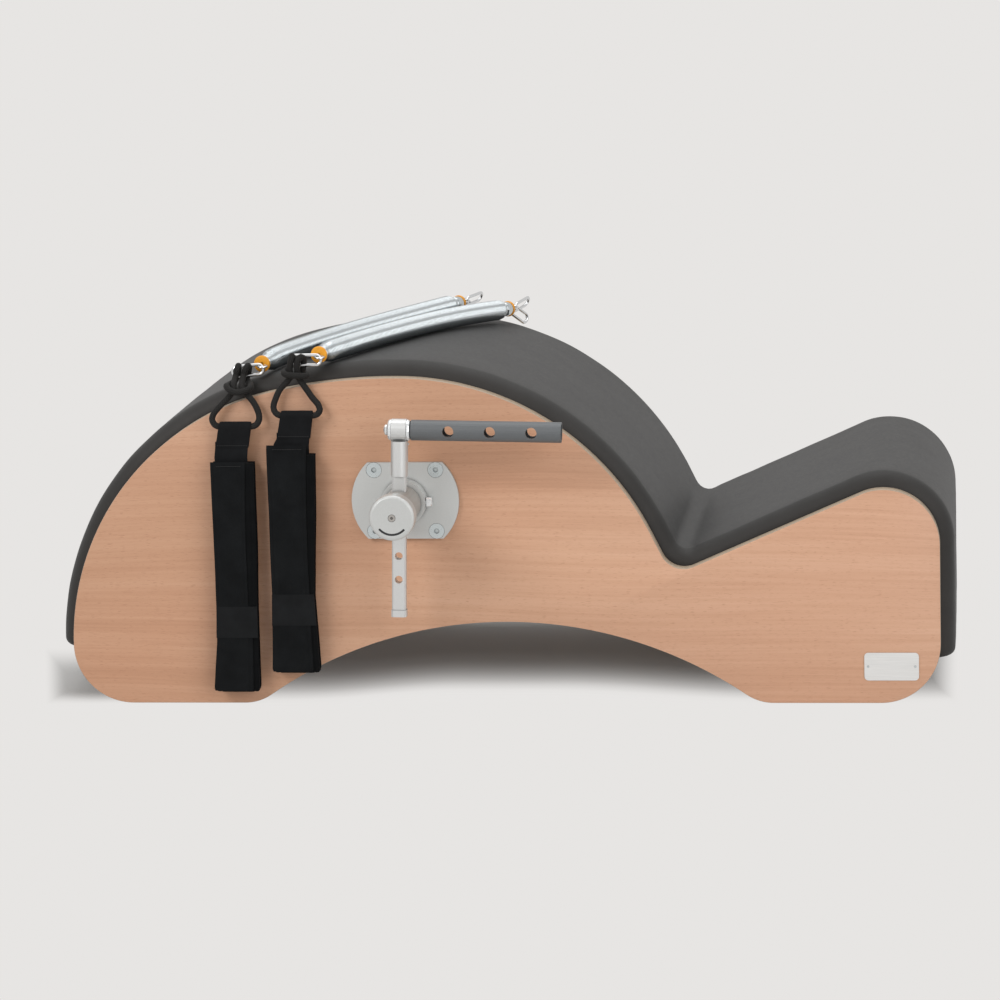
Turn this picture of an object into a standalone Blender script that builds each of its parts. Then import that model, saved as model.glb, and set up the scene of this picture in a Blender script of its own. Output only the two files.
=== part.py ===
"""Spine corrector: upholstered barrel between two plywood panels, with a swing arm,
two loose tension springs and their hanging hand straps.

Metres. x runs along the object, y from front to back, z up, floor at z = 0.
"""
import math

import bmesh
import bpy
import numpy as np
from mathutils import Matrix, Vector

# Body
WIDTH = 0.450                 # over both side panels
ARM_REACH = 0.114             # knob face ahead of the front panel
PANEL_THICK = 0.018
CLEARANCE = 0.0003            # left between pieces that touch

# Panel outline, clockwise from the left foot; headings in degrees, 90 is up
LEFT_X = -0.452
FOOT_CORNER = 0.062
BARREL_BACK_RADIUS, BARREL_BACK_END = 0.271, 13.5
BARREL_CROWN_RADIUS, BARREL_CROWN_END = 0.562, -1.0
BARREL_FRONT_RADIUS, BARREL_FRONT_END = 0.293, -63.5
BARREL_RUN = 0.027
VALLEY_RADIUS, HEADREST_RISE = 0.025, 23.5
HEADREST_RUN = 0.188
HEADREST_RADIUS = 0.058
ARCH_X, ARCH_TOP, ARCH_RADIUS = 0.0035, 0.0853, 0.4388
TOE_RADIUS = 0.050
SAGITTA = 0.0004              # largest flat error on a round stretch

# Upholstery and the board under it, measured outwards from the panel outline
PAD_PROUD = 0.0150
PAD_CROWN = 0.0006
PAD_THICK = 0.025
PAD_EDGE_RADIUS = 0.018
PAD_DRAW_IN = 0.0008
PAD_VALLEY_RADIUS = 0.015
PAD_LEFT_END, PAD_RIGHT_END = 0.056, 0.044
PAD_END_ROUND = 0.008
BOARD_THICK = 0.009
BOARD_END = 0.006             # board stops this far above the pad's ends

# Cross rails, which lie against the board: size in x, size in z
END_RAIL_SIZE, END_RAIL_Z = (0.026, 0.036), 0.085
CROWN_RAIL_SIZE, CROWN_RAIL_X = (0.044, 0.032), -0.117
VALLEY_RAIL_SIZE, VALLEY_RAIL_X = (0.034, 0.030), 0.190

# Arm bracket: hub axis and the plate on the panel
HUB_X, HUB_Z = -0.0985, 0.2140
LEAN = math.radians(1.3)
PLATE_RADIUS, PLATE_HEIGHT, PLATE_THICK = 0.0558, 0.0797, 0.005
SCREW_SPACING = 0.064
SCREW_HEAD_RADIUS, SCREW_RADIUS, SCREW_LENGTH = 0.008, 0.004, 0.021
SCREW_SOCKET_RADIUS, SCREW_SOCKET_DEPTH = 0.0028, 0.0022
COLLAR_RADIUS, COLLAR_FRONT = 0.0232, 0.025
BUSH_RADIUS = 0.015
SPIGOT_RADIUS = 0.012
LOCK_HEAD_RADIUS, LOCK_STEM_RADIUS = 0.0052, 0.003
LOCK_HEAD_LENGTH, LOCK_Y = 0.0055, -0.015
HUB_RADIUS = 0.0188
HUB_BOLT_RADIUS, HUB_BOLT_HEAD_RADIUS, HUB_BOLT_HEAD = 0.004, 0.0065, 0.005
HUB_BOLT_DEPTH = 0.016
HUB_WASHER_RADIUS, HUB_WASHER_THICK = 0.019, 0.0025

# Knob
KNOB_RADIUS, KNOB_LENGTH, KNOB_ROUND = 0.0234, 0.017, 0.003
KNOB_PIN_RADIUS, KNOB_PIN_IN_KNOB = 0.005, 0.006
KNOB_SCREW_RADIUS, KNOB_SCREW_LENGTH, KNOB_SCREW_SOCKET = 0.0036, 0.004, 0.0015
MARK_RADIUS, MARK_STROKE, MARK_DEPTH, MARK_HALF_ANGLE = 0.0170, 0.0022, 0.0006, 49

# Arm, in the arm's own frame: u runs up the bar from the hub axis
ARM_Y = -0.052
BAR_WIDTH, BAR_DEPTH, BAR_CHAMFER = 0.0142, 0.012, 0.0015
BAR_BOTTOM, BAR_SQUARE_TOP = -0.1047, 0.0355
BAR_HOLE_RADIUS, BAR_HOLE_PITCH, BAR_HOLES = 0.0041, 0.0244, 4
CAP_WIDTH, CAP_DEPTH, CAP_HEIGHT = 0.0155, 0.0133, 0.0072
NECK_RADIUS = 0.00885
EYE_U, EYE_RADIUS, EYE_WIDTH, EYE_ROOT_DEPTH = 0.0810, 0.01145, 0.0152, 0.0088
BOLT_RADIUS, BOLT_HEAD_RADIUS, BOLT_HEAD = 0.005, 0.0055, 0.0037
WASHER_RADIUS, WASHER_THICK = 0.011, 0.0041
TUBE_RADIUS, TUBE_WALL, TUBE_LENGTH = 0.0106, 0.002, 0.1537
TUBE_HOLE_RADIUS, TUBE_HOLE_PITCH, TUBE_FIRST_HOLE = 0.0058, 0.0425, 0.0385
PLUG_LENGTH = 0.024
BOLT_END = 0.018              # bolt's reach into the plug
STOP_PIN_RADIUS, STOP_PIN_LENGTH, STOP_PIN_U = 0.001, 0.006, 0.0665

# Name plate on the front panel
NAME_INSET, NAME_Z = 0.0506, 0.0385   # of its middle from the right edge
NAME_WIDTH, NAME_HEIGHT, NAME_THICK, NAME_CORNER = 0.056, 0.029, 0.0008, 0.004
NAME_PIN_SPACING, NAME_PIN_RADIUS, NAME_PIN_LENGTH = 0.0485, 0.0009, 0.006

# Springs, with their y measured back from the front panel's face
SPRING_RADIUS, SPRING_WIRE = 0.01075, 0.003
SPRING_CURLS = 30
POINTS_PER_CURL = 8
SPRING_NECK_RADIUS = 0.0080
NECK_CURLS = 1.5
NECK_STRAIGHT = 0.009         # the spring leaves its left ferrule straight for this long
COIL_SEAT_GAP = 0.0001        # added to the clearance between a coil and its ferrule
FERRULE_RADIUS, FERRULE_BORE, FERRULE_LENGTH = 0.0080, 0.0030, 0.010
END_CAP_RADIUS, END_CAP_BORE, END_CAP_THICK = 0.00825, 0.0020, 0.003
EYE_WIRE, EYE_LOOP_RADIUS, EYE_STANDOFF = 0.0013, 0.0055, 0.0015
LINK_LENGTH, LINK_WIDTH, LINK_WIRE = 0.0355, 0.0138, 0.0015
LINK_SHIFT, LINK_PULL = 0.0019, 0.0013     # of a link's wire from the middle of the eye

# Straps
ROPE_RADIUS = 0.003
STRAP_Y = -0.0115
WEB_WIDTH, WEB_THICK = 0.035, 0.0050
FOLD_WALL = 0.0016
WEB_TUCK = 0.035
SLEEVE_LAYER, SLEEVE_GAP = 0.0045, WEB_THICK + 2 * CLEARANCE
SLEEVE_CHAMFER = 0.002

LOOKS = {                     # colour, roughness, metallic
    "veneer": ((0.78, 0.55, 0.38), 0.45, 0.0),
    "plywood": ((0.72, 0.58, 0.42), 0.60, 0.0),
    "vinyl": ((0.075, 0.075, 0.078), 0.50, 0.0),
    "bracket": ((0.72, 0.73, 0.74), 0.40, 0.3),
    "tube": ((0.16, 0.18, 0.20), 0.45, 0.2),
    "steel": ((0.70, 0.71, 0.72), 0.30, 1.0),
    "chrome": ((0.82, 0.83, 0.84), 0.12, 1.0),
    "orange": ((0.85, 0.36, 0.05), 0.40, 0.0),
    "rope": ((0.030, 0.030, 0.032), 0.80, 0.0),
    "webbing": ((0.022, 0.022, 0.024), 0.85, 0.0),
    "fleece": ((0.018, 0.018, 0.020), 0.95, 0.0),
}

FRONT_Y = (ARM_REACH - WIDTH) / 2
INNER_FRONT_Y = PANEL_THICK + CLEARANCE
INNER_BACK_Y = WIDTH - PANEL_THICK - CLEARANCE
TO_Y = Matrix.Rotation(-math.pi / 2, 4, "X")
TO_X = Matrix.Rotation(math.pi / 2, 4, "Y")


def clear_scene():
    for obj in list(bpy.data.objects):
        bpy.data.objects.remove(obj, do_unlink=True)


# Meshes

def mesh_from(points, faces):
    mesh = bpy.data.meshes.new("mesh")
    mesh.from_pydata([tuple(p) for p in points], [], faces)
    bm = bmesh.new()
    bm.from_mesh(mesh)
    bmesh.ops.recalc_face_normals(bm, faces=bm.faces)
    bm.to_mesh(mesh)
    bm.free()
    return mesh


def loft(rings, closed=False):
    """Skins rings of equal count; open lofts get flat ends."""
    count = len(rings[0])
    points = [p for ring in rings for p in ring]
    faces = []
    for i in range(len(rings) if closed else len(rings) - 1):
        low, high = i * count, (i + 1) % len(rings) * count
        for k in range(count):
            n = (k + 1) % count
            faces.append((low + k, low + n, high + n, high + k))
    if not closed:
        faces.append(tuple(range(count)))
        faces.append(tuple(range(len(points) - count, len(points))))
    return mesh_from(points, faces)


def prism(outline, y0, y1):
    """Outline of (x, z) points, extruded along y."""
    return loft([[(x, y, z) for x, z in outline] for y in (y0, y1)])


def lathe(profile, segments=20, closed=False):
    """Profile of (radius, height) points turned about z; closed leaves a bore."""
    angles = [2 * math.pi * k / segments for k in range(segments)]
    points, rows = [], []
    for r, h in profile:
        if r == 0:
            rows.append([len(points)] * segments)
            points.append((0, 0, h))
        else:
            rows.append(list(range(len(points), len(points) + segments)))
            points += [(r * math.cos(a), r * math.sin(a), h) for a in angles]
    faces = []
    for i in range(len(rows) if closed else len(rows) - 1):
        low, high = rows[i], rows[(i + 1) % len(rows)]
        for k in range(segments):
            n = (k + 1) % segments
            corners = list(dict.fromkeys((low[k], low[n], high[n], high[k])))
            faces.append(corners)
    return mesh_from(points, faces)


def rod(radius, start, end, segments=16):
    return lathe([(0, start), (radius, start), (radius, end), (0, end)], segments)


def ring(outer, bore, start, end, segments=20):
    return lathe([(bore, start), (outer, start), (outer, end), (bore, end)], segments, closed=True)


def box(size_x, size_y, size_z, chamfer=0.0):
    """Box round its own origin, its long edges along z cut by chamfer."""
    hx, hy, c = size_x / 2, size_y / 2, chamfer
    if c:
        section = [(c - hx, -hy), (hx - c, -hy), (hx, c - hy), (hx, hy - c),
                   (hx - c, hy), (c - hx, hy), (-hx, hy - c), (-hx, c - hy)]
    else:
        section = [(-hx, -hy), (hx, -hy), (hx, hy), (-hx, hy)]
    return loft([[(x, y, z) for x, y in section] for z in (-size_z / 2, size_z / 2)])


# Objects

def paint(obj, look):
    colour, roughness, metallic = LOOKS[look]
    material = bpy.data.materials.new(obj.name)
    material.use_nodes = True
    shader = material.node_tree.nodes["Principled BSDF"]
    shader.inputs["Base Color"].default_value = (*colour, 1)
    shader.inputs["Roughness"].default_value = roughness
    shader.inputs["Metallic"].default_value = metallic
    obj.data.materials.clear()
    obj.data.materials.append(material)


def place(name, data, look=None, at=(0, 0, 0), turn=None, parent=None, smooth=None):
    obj = bpy.data.objects.new(name, data)
    bpy.context.scene.collection.objects.link(obj)
    obj.parent = parent
    obj.location = at
    if turn is not None:
        obj.rotation_euler = turn.to_euler()
    if look:
        data.name = name
        paint(obj, look)
    if smooth:
        data.shade_smooth()
        data.set_sharp_from_angle(angle=math.radians(smooth))
    return obj


def pivot(name, at, turn=None, parent=None):
    obj = bpy.data.objects.new(name, None)
    bpy.context.scene.collection.objects.link(obj)
    obj.parent = parent
    obj.location = at
    obj.empty_display_size = 0.02
    if turn is not None:
        obj.rotation_euler = turn.to_euler()
    return obj


def combine(target, tools, operation="DIFFERENCE"):
    """Cuts or joins the tools into target, then drops them."""
    bpy.context.view_layer.update()
    for tool in tools:
        modifier = target.modifiers.new(tool.name, "BOOLEAN")
        modifier.operation = operation
        modifier.solver = "EXACT"
        modifier.object = tool
    graph = bpy.context.evaluated_depsgraph_get()
    mesh = bpy.data.meshes.new_from_object(target.evaluated_get(graph))
    target.modifiers.clear()
    old, target.data = target.data, mesh
    bpy.data.meshes.remove(old)
    mesh.name = target.name
    for tool in tools:
        bpy.data.objects.remove(tool, do_unlink=True)


def tool(mesh, at=(0, 0, 0), turn=None, parent=None):
    return place("tool", mesh, None, at, turn, parent)


def soften(obj, angle=30):
    obj.data.shade_smooth()
    obj.data.set_sharp_from_angle(angle=math.radians(angle))


# Panel outline

class Pen:
    """Walks an outline in x and z; the material lies to the right of the walk."""

    def __init__(self, x, z, heading):
        self.x, self.z, self.heading = x, z, heading
        self.points, self.normals = [], []
        self.mark()

    def mark(self):
        a = math.radians(self.heading)
        self.points.append((self.x, self.z))
        self.normals.append((-math.sin(a), math.cos(a)))

    def run(self, length):
        a = math.radians(self.heading)
        self.x += length * math.cos(a)
        self.z += length * math.sin(a)
        self.mark()

    def turn(self, radius, to):
        side = 1 if to < self.heading else -1
        start = math.radians(self.heading)
        cx = self.x + side * radius * math.sin(start)
        cz = self.z - side * radius * math.cos(start)
        step = 2 * math.acos(1 - SAGITTA / radius)
        count = max(3, math.ceil(abs(math.radians(to) - start) / step))
        first = self.heading
        for k in range(1, count + 1):
            self.heading = first + (to - first) * k / count
            a = math.radians(self.heading)
            self.x = cx - side * radius * math.sin(a)
            self.z = cz + side * radius * math.cos(a)
            self.mark()


def draw_top(pen, offset=0.0, valley_floor=0.0):
    """Barrel, valley and headrest, moved outwards by offset."""
    pen.turn(BARREL_BACK_RADIUS + offset, BARREL_BACK_END)
    pen.turn(BARREL_CROWN_RADIUS + offset, BARREL_CROWN_END)
    pen.turn(BARREL_FRONT_RADIUS + offset, BARREL_FRONT_END)
    corner = VALLEY_RADIUS - offset
    radius = max(corner, valley_floor)
    bend = math.radians(HEADREST_RISE - BARREL_FRONT_END)
    trim = (radius - corner) * math.tan(bend / 2)
    pen.run(BARREL_RUN - trim)
    pen.turn(radius, HEADREST_RISE)
    pen.run(HEADREST_RUN - trim)
    pen.turn(HEADREST_RADIUS + offset, -90)


def panel_outline():
    arch_z = ARCH_TOP - ARCH_RADIUS
    reach = math.sqrt((ARCH_RADIUS + TOE_RADIUS) ** 2 - (TOE_RADIUS - arch_z) ** 2)
    lift = math.degrees(math.atan2(reach, TOE_RADIUS - arch_z))
    pen = Pen(LEFT_X + FOOT_CORNER, 0, 180)
    pen.turn(FOOT_CORNER, 90)
    draw_top(pen)
    pen.run(pen.z - FOOT_CORNER)
    pen.turn(FOOT_CORNER, -180)
    pen.heading = 180
    pen.run(pen.x - (ARCH_X + reach))
    pen.turn(TOE_RADIUS, 180 - lift)
    pen.turn(ARCH_RADIUS, 180 + lift)
    pen.turn(TOE_RADIUS, 180)
    return pen.points


def edge_line(offset, left_z, right_z, valley_floor=0.0):
    """Open line at an offset from the panel's upper edge, with its outward normals."""
    pen = Pen(LEFT_X - offset, left_z, 90)
    pen.run(FOOT_CORNER - left_z)
    draw_top(pen, offset, valley_floor)
    pen.run(pen.z - right_z)
    return pen.points, pen.normals


# Body

def screw_places():
    half = SCREW_SPACING / 2
    return [(HUB_X + i * half, HUB_Z + k * half) for i in (-1, 1) for k in (-1, 1)]


def name_x():
    line, _ = edge_line(0, FOOT_CORNER, FOOT_CORNER)
    return line[-1][0] - NAME_INSET


def name_pin_places():
    return [(name_x() + side * NAME_PIN_SPACING / 2, NAME_Z) for side in (-1, 1)]


def side_panels():
    outline = panel_outline()
    front = place("side_panel_front", prism(outline, 0, PANEL_THICK), "veneer", (0, FRONT_Y, 0))
    bore = BUSH_RADIUS + CLEARANCE
    holes = [tool(rod(bore, -0.01, 0.03, 24), (HUB_X, FRONT_Y, HUB_Z), TO_Y)]
    for x, z in screw_places():
        hole = SCREW_RADIUS + CLEARANCE
        depth = SCREW_LENGTH - PLATE_THICK
        holes.append(tool(rod(hole, -0.01, depth, 12), (x, FRONT_Y, z), TO_Y))
    for x, z in name_pin_places():
        hole = NAME_PIN_RADIUS + CLEARANCE
        holes.append(tool(rod(hole, -0.01, NAME_PIN_LENGTH, 8), (x, FRONT_Y, z), TO_Y))
    combine(front, holes)
    place("side_panel_rear", prism(outline, WIDTH - PANEL_THICK, WIDTH), "veneer",
          (0, FRONT_Y, 0))


def rail(name, size, x, z):
    mesh = box(size[0], INNER_BACK_Y - INNER_FRONT_Y, size[1])
    place(name, mesh, "plywood", (x, FRONT_Y + WIDTH / 2, z))


def rails():
    """Two rails inside the board's upright ends, two under its crown and its valley."""
    depth = PAD_THICK - PAD_PROUD + CLEARANCE + BOARD_THICK + CLEARANCE
    line, _ = edge_line(-depth, FOOT_CORNER, PAD_RIGHT_END)
    xs, zs = (np.array(column) for column in zip(*line))
    width, height = END_RAIL_SIZE
    top = END_RAIL_Z + height / 2
    left = np.interp(top, zs[:8], xs[:8])
    right = np.interp(top, zs[:-5:-1], xs[:-5:-1])
    rail("rail_left_end", END_RAIL_SIZE, left + width / 2, END_RAIL_Z)
    rail("rail_headrest", END_RAIL_SIZE, right - width / 2, END_RAIL_Z)
    for name, size, x in (("rail_crown", CROWN_RAIL_SIZE, CROWN_RAIL_X),
                          ("rail_valley", VALLEY_RAIL_SIZE, VALLEY_RAIL_X)):
        across = np.linspace(x - size[0] / 2, x + size[0] / 2, 15)
        floor = np.interp(across, xs, zs).min()
        rail(name, size, x, floor - size[1] / 2)


def barrel_board():
    gap = PAD_THICK - PAD_PROUD + CLEARANCE
    ends = PAD_LEFT_END + BOARD_END, PAD_RIGHT_END + BOARD_END
    outer, _ = edge_line(-gap, FOOT_CORNER, ends[1])
    inner, _ = edge_line(-gap - BOARD_THICK, FOOT_CORNER, ends[1])
    outline = outer + inner[::-1]
    place("barrel_board", prism(outline, INNER_FRONT_Y, INNER_BACK_Y), "plywood", (0, FRONT_Y, 0))


def pad_section(thick):
    """(y, height over the pad's base) points, going round once."""
    y0, y1 = INNER_FRONT_Y, INNER_BACK_Y
    r = min(PAD_EDGE_RADIUS, thick * 0.8)
    corner = [(r * (1 - math.cos(a)), thick - r * (1 - math.sin(a)))
              for a in np.linspace(0, math.pi / 2, 5)]
    front = [(y0 + dy, h) for dy, h in corner]
    back = [(y1 - dy, h) for dy, h in reversed(corner)]
    middle = [((y0 + y1) / 2, thick + PAD_CROWN)]
    return [(y0 + PAD_DRAW_IN, 0)] + front + middle + back + [(y1 - PAD_DRAW_IN, 0)]


def pad():
    line, normals = edge_line(PAD_PROUD, PAD_LEFT_END + PAD_END_ROUND * 0.7,
                              PAD_RIGHT_END + PAD_END_ROUND, PAD_VALLEY_RADIUS)
    stations = [(p, n, PAD_THICK) for p, n in zip(line, normals)]
    for drop, share in ((0.7, 0.85), (1.0, 0.55)):
        thick = PAD_THICK * share
        (x, z), n = line[0], normals[0]
        stations.insert(0, ((x, z - PAD_END_ROUND * drop), n, thick))
        (x, z), n = line[-1], normals[-1]
        stations.append(((x, z - PAD_END_ROUND * drop), n, thick))
    rings = []
    for (x, z), (nx, nz), thick in stations:
        ring_points = []
        for y, h in pad_section(thick):
            out = h - PAD_THICK
            ring_points.append((x + nx * out, y, z + nz * out))
        rings.append(ring_points)
    place("pad", loft(rings), "vinyl", (0, FRONT_Y, 0), smooth=50)


# Arm bracket

def at_hub(name, mesh, look, y=0.0, smooth=30):
    return place(name, mesh, look, (HUB_X, FRONT_Y + y, HUB_Z), TO_Y, smooth=smooth)


def mount_plate():
    half = PLATE_HEIGHT / 2
    turn_to = math.acos(half / PLATE_RADIUS)
    arc = np.linspace(math.pi / 2 - turn_to, turn_to - math.pi / 2, 15)
    right = [(PLATE_RADIUS * math.cos(a), PLATE_RADIUS * math.sin(a)) for a in arc]
    outline = right + [(-x, -z) for x, z in right]
    back = -CLEARANCE
    mesh = prism(outline, back - PLATE_THICK, back)
    plate = place("mount_plate", mesh, "bracket", (HUB_X, FRONT_Y, HUB_Z))
    bore = BUSH_RADIUS + CLEARANCE
    cuts = [tool(rod(bore, -0.01, 0.01, 24), (HUB_X, FRONT_Y, HUB_Z), TO_Y)]
    head, shank = SCREW_HEAD_RADIUS + CLEARANCE, SCREW_RADIUS + CLEARANCE
    face = back - PLATE_THICK
    cone = [(0, face - 0.001), (head, face - 0.001), (head, face + CLEARANCE),
            (shank, face + CLEARANCE + head - shank), (shank, 0.01), (0, 0.01)]
    cuts += [tool(lathe(cone, 16), (x, FRONT_Y, z), TO_Y) for x, z in screw_places()]
    combine(plate, cuts)
    soften(plate)


def plate_screws():
    face = -CLEARANCE - PLATE_THICK
    cone = SCREW_HEAD_RADIUS - SCREW_RADIUS
    profile = [(0, face + SCREW_SOCKET_DEPTH), (SCREW_SOCKET_RADIUS, face + SCREW_SOCKET_DEPTH),
               (SCREW_SOCKET_RADIUS, face), (SCREW_HEAD_RADIUS, face),
               (SCREW_RADIUS, face + cone), (SCREW_RADIUS, face + SCREW_LENGTH),
               (0, face + SCREW_LENGTH)]
    for k, (x, z) in enumerate(screw_places(), 1):
        place(f"plate_screw_{k}", lathe(profile, 16), "steel", (x, FRONT_Y, z), TO_Y, smooth=30)


def pivot_collar():
    back = -2 * CLEARANCE - PLATE_THICK
    bore = BUSH_RADIUS + CLEARANCE
    collar = at_hub("pivot_collar", ring(COLLAR_RADIUS, bore, -COLLAR_FRONT, back, 32), "bracket")
    stem = LOCK_STEM_RADIUS + CLEARANCE
    combine(collar, [lock_tool(stem)])
    soften(collar)


def lock_tool(radius):
    return tool(rod(radius, 0.005, 0.03, 12), (HUB_X, FRONT_Y + LOCK_Y, HUB_Z), TO_X)


def pivot_bush():
    bore = SPIGOT_RADIUS + CLEARANCE
    mesh = ring(BUSH_RADIUS, bore, -COLLAR_FRONT, PANEL_THICK, 20)
    bush = at_hub("pivot_bush", mesh, "steel")
    combine(bush, [lock_tool(LOCK_STEM_RADIUS + CLEARANCE)])
    soften(bush)


def swing_lock_pin():
    tip = SPIGOT_RADIUS + CLEARANCE
    shoulder = COLLAR_RADIUS + CLEARANCE
    end = shoulder + LOCK_HEAD_LENGTH
    profile = [(0, tip), (LOCK_STEM_RADIUS, tip), (LOCK_STEM_RADIUS, shoulder),
               (LOCK_HEAD_RADIUS, shoulder), (LOCK_HEAD_RADIUS, end - 0.0008),
               (LOCK_HEAD_RADIUS - 0.0008, end), (0, end)]
    place("swing_lock_pin", lathe(profile, 16), "bracket",
          (HUB_X, FRONT_Y + LOCK_Y, HUB_Z), TO_X, smooth=30)


def knob_back():
    return KNOB_LENGTH - ARM_REACH


def arm_hub(arm):
    front = knob_back() + CLEARANCE
    step = -COLLAR_FRONT - CLEARANCE
    back = PANEL_THICK + CLEARANCE
    thread = HUB_BOLT_RADIUS + CLEARANCE
    bottom = back - HUB_BOLT_DEPTH - CLEARANCE
    profile = [(0, front), (HUB_RADIUS, front), (HUB_RADIUS, step), (SPIGOT_RADIUS, step),
               (SPIGOT_RADIUS, back), (thread, back), (thread, bottom), (0, bottom)]
    hub = place("arm_hub", lathe(profile, 32), "bracket", (0, 0, 0), TO_Y, arm)
    gap = 2 * CLEARANCE
    slot = tool(box(BAR_WIDTH + gap, BAR_DEPTH + gap, 0.06), (0, ARM_Y, 0), None, arm)
    bore = tool(rod(KNOB_PIN_RADIUS + CLEARANCE, front - 0.01, ARM_Y, 16), (0, 0, 0), TO_Y, arm)
    combine(hub, [slot, bore])
    soften(hub)


def hub_bolt_and_washer(arm):
    face = PANEL_THICK + 2 * CLEARANCE
    bore = HUB_BOLT_RADIUS + CLEARANCE
    washer = ring(HUB_WASHER_RADIUS, bore, face, face + HUB_WASHER_THICK, 20)
    place("hub_washer", washer, "steel", (0, 0, 0), TO_Y, arm, 30)
    seat = face + HUB_WASHER_THICK + CLEARANCE
    tip = face - HUB_BOLT_DEPTH
    profile = [(0, tip), (HUB_BOLT_RADIUS, tip), (HUB_BOLT_RADIUS, seat),
               (HUB_BOLT_HEAD_RADIUS, seat), (HUB_BOLT_HEAD_RADIUS, seat + HUB_BOLT_HEAD),
               (0, seat + HUB_BOLT_HEAD)]
    place("hub_bolt", lathe(profile, 12), "steel", (0, 0, 0), TO_Y, arm, 30)


# Arm

def arm_bar(arm):
    length = BAR_SQUARE_TOP - BAR_BOTTOM
    bar = place("arm_bar", box(BAR_WIDTH, BAR_DEPTH, length, BAR_CHAMFER), "bracket",
                (0, ARM_Y, (BAR_SQUARE_TOP + BAR_BOTTOM) / 2), None, arm)
    shoulder = EYE_U - WASHER_RADIUS - CLEARANCE
    neck = tool(rod(NECK_RADIUS, BAR_SQUARE_TOP - 0.002, shoulder, 24), (0, ARM_Y, 0), None, arm)
    root = tool(box(EYE_WIDTH, EYE_ROOT_DEPTH, EYE_RADIUS), (0, ARM_Y, shoulder), None, arm)
    eye = tool(rod(EYE_RADIUS, -EYE_WIDTH / 2, EYE_WIDTH / 2, 24), (0, ARM_Y, EYE_U), TO_X, arm)
    combine(bar, [neck, root, eye], "UNION")
    hole = BOLT_RADIUS + CLEARANCE
    cuts = [tool(rod(hole, -0.02, 0.02, 16), (0, ARM_Y, EYE_U), TO_X, arm)]
    for k in range(BAR_HOLES):
        cuts.append(tool(rod(BAR_HOLE_RADIUS, -0.02, 0.02, 16), (0, ARM_Y, -k * BAR_HOLE_PITCH),
                         TO_Y, arm))
    pin = STOP_PIN_RADIUS + CLEARANCE
    inside = NECK_RADIUS + 0.001 - STOP_PIN_LENGTH - CLEARANCE
    cuts.append(tool(rod(pin, inside, 0.02, 8), (0, ARM_Y, STOP_PIN_U), TO_X, arm))
    combine(bar, cuts)
    soften(bar)


def bar_end_cap(arm):
    middle = BAR_BOTTOM - CLEARANCE - CAP_HEIGHT / 2
    place("bar_end_cap", box(CAP_WIDTH, CAP_DEPTH, CAP_HEIGHT, 0.002), "bracket",
          (0, ARM_Y, middle), None, arm)


def knob(arm):
    face, back = -ARM_REACH, knob_back()
    screw = KNOB_SCREW_RADIUS + CLEARANCE
    floor = face + KNOB_SCREW_LENGTH + CLEARANCE
    pin = KNOB_PIN_RADIUS + CLEARANCE
    depth = back - KNOB_PIN_IN_KNOB - CLEARANCE
    r = KNOB_ROUND
    rim = [(KNOB_RADIUS - r + r * math.sin(a), face + r - r * math.cos(a))
           for a in np.linspace(0, math.pi / 2, 4)]
    profile = [(0, floor), (screw, floor), (screw, face)] + rim
    profile += [(KNOB_RADIUS, back - 0.001), (KNOB_RADIUS - 0.001, back), (pin, back),
                (pin, depth), (0, depth)]
    body = place("knob", lathe(profile, 32), "bracket", (0, 0, 0), TO_Y, arm)
    angles = np.radians(np.linspace(-MARK_HALF_ANGLE, MARK_HALF_ANGLE, 13))
    outer, inner = MARK_RADIUS + MARK_STROKE / 2, MARK_RADIUS - MARK_STROKE / 2
    arc = [(outer * math.sin(a), -outer * math.cos(a)) for a in angles]
    arc += [(inner * math.sin(a), -inner * math.cos(a)) for a in reversed(angles)]
    mark = tool(prism(arc, face - 0.002, face + MARK_DEPTH), (0, 0, 0), None, arm)
    combine(body, [mark])
    soften(body)
    socket = KNOB_SCREW_SOCKET
    profile = [(0, face + socket), (socket, face + socket), (socket, face),
               (KNOB_SCREW_RADIUS, face), (KNOB_SCREW_RADIUS, face + KNOB_SCREW_LENGTH),
               (0, face + KNOB_SCREW_LENGTH)]
    place("knob_screw", lathe(profile, 12), "steel", (0, 0, 0), TO_Y, arm, 30)
    tip = ARM_Y - BAR_DEPTH / 2 - CLEARANCE
    place("knob_pin", rod(KNOB_PIN_RADIUS, depth + CLEARANCE, tip, 16), "steel", (0, 0, 0),
          TO_Y, arm, 30)


def dome(radius, thick, bore, inward):
    """Washer with a rounded outer face; inward is the side of its flat face."""
    crown = [(radius, 0), (radius, thick * 0.35), (radius * 0.93, thick * 0.7),
             (radius * 0.78, thick), (bore, thick)]
    profile = [(bore, 0)] + crown
    return lathe([(r, h * inward) for r, h in profile], 24, closed=True)


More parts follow.
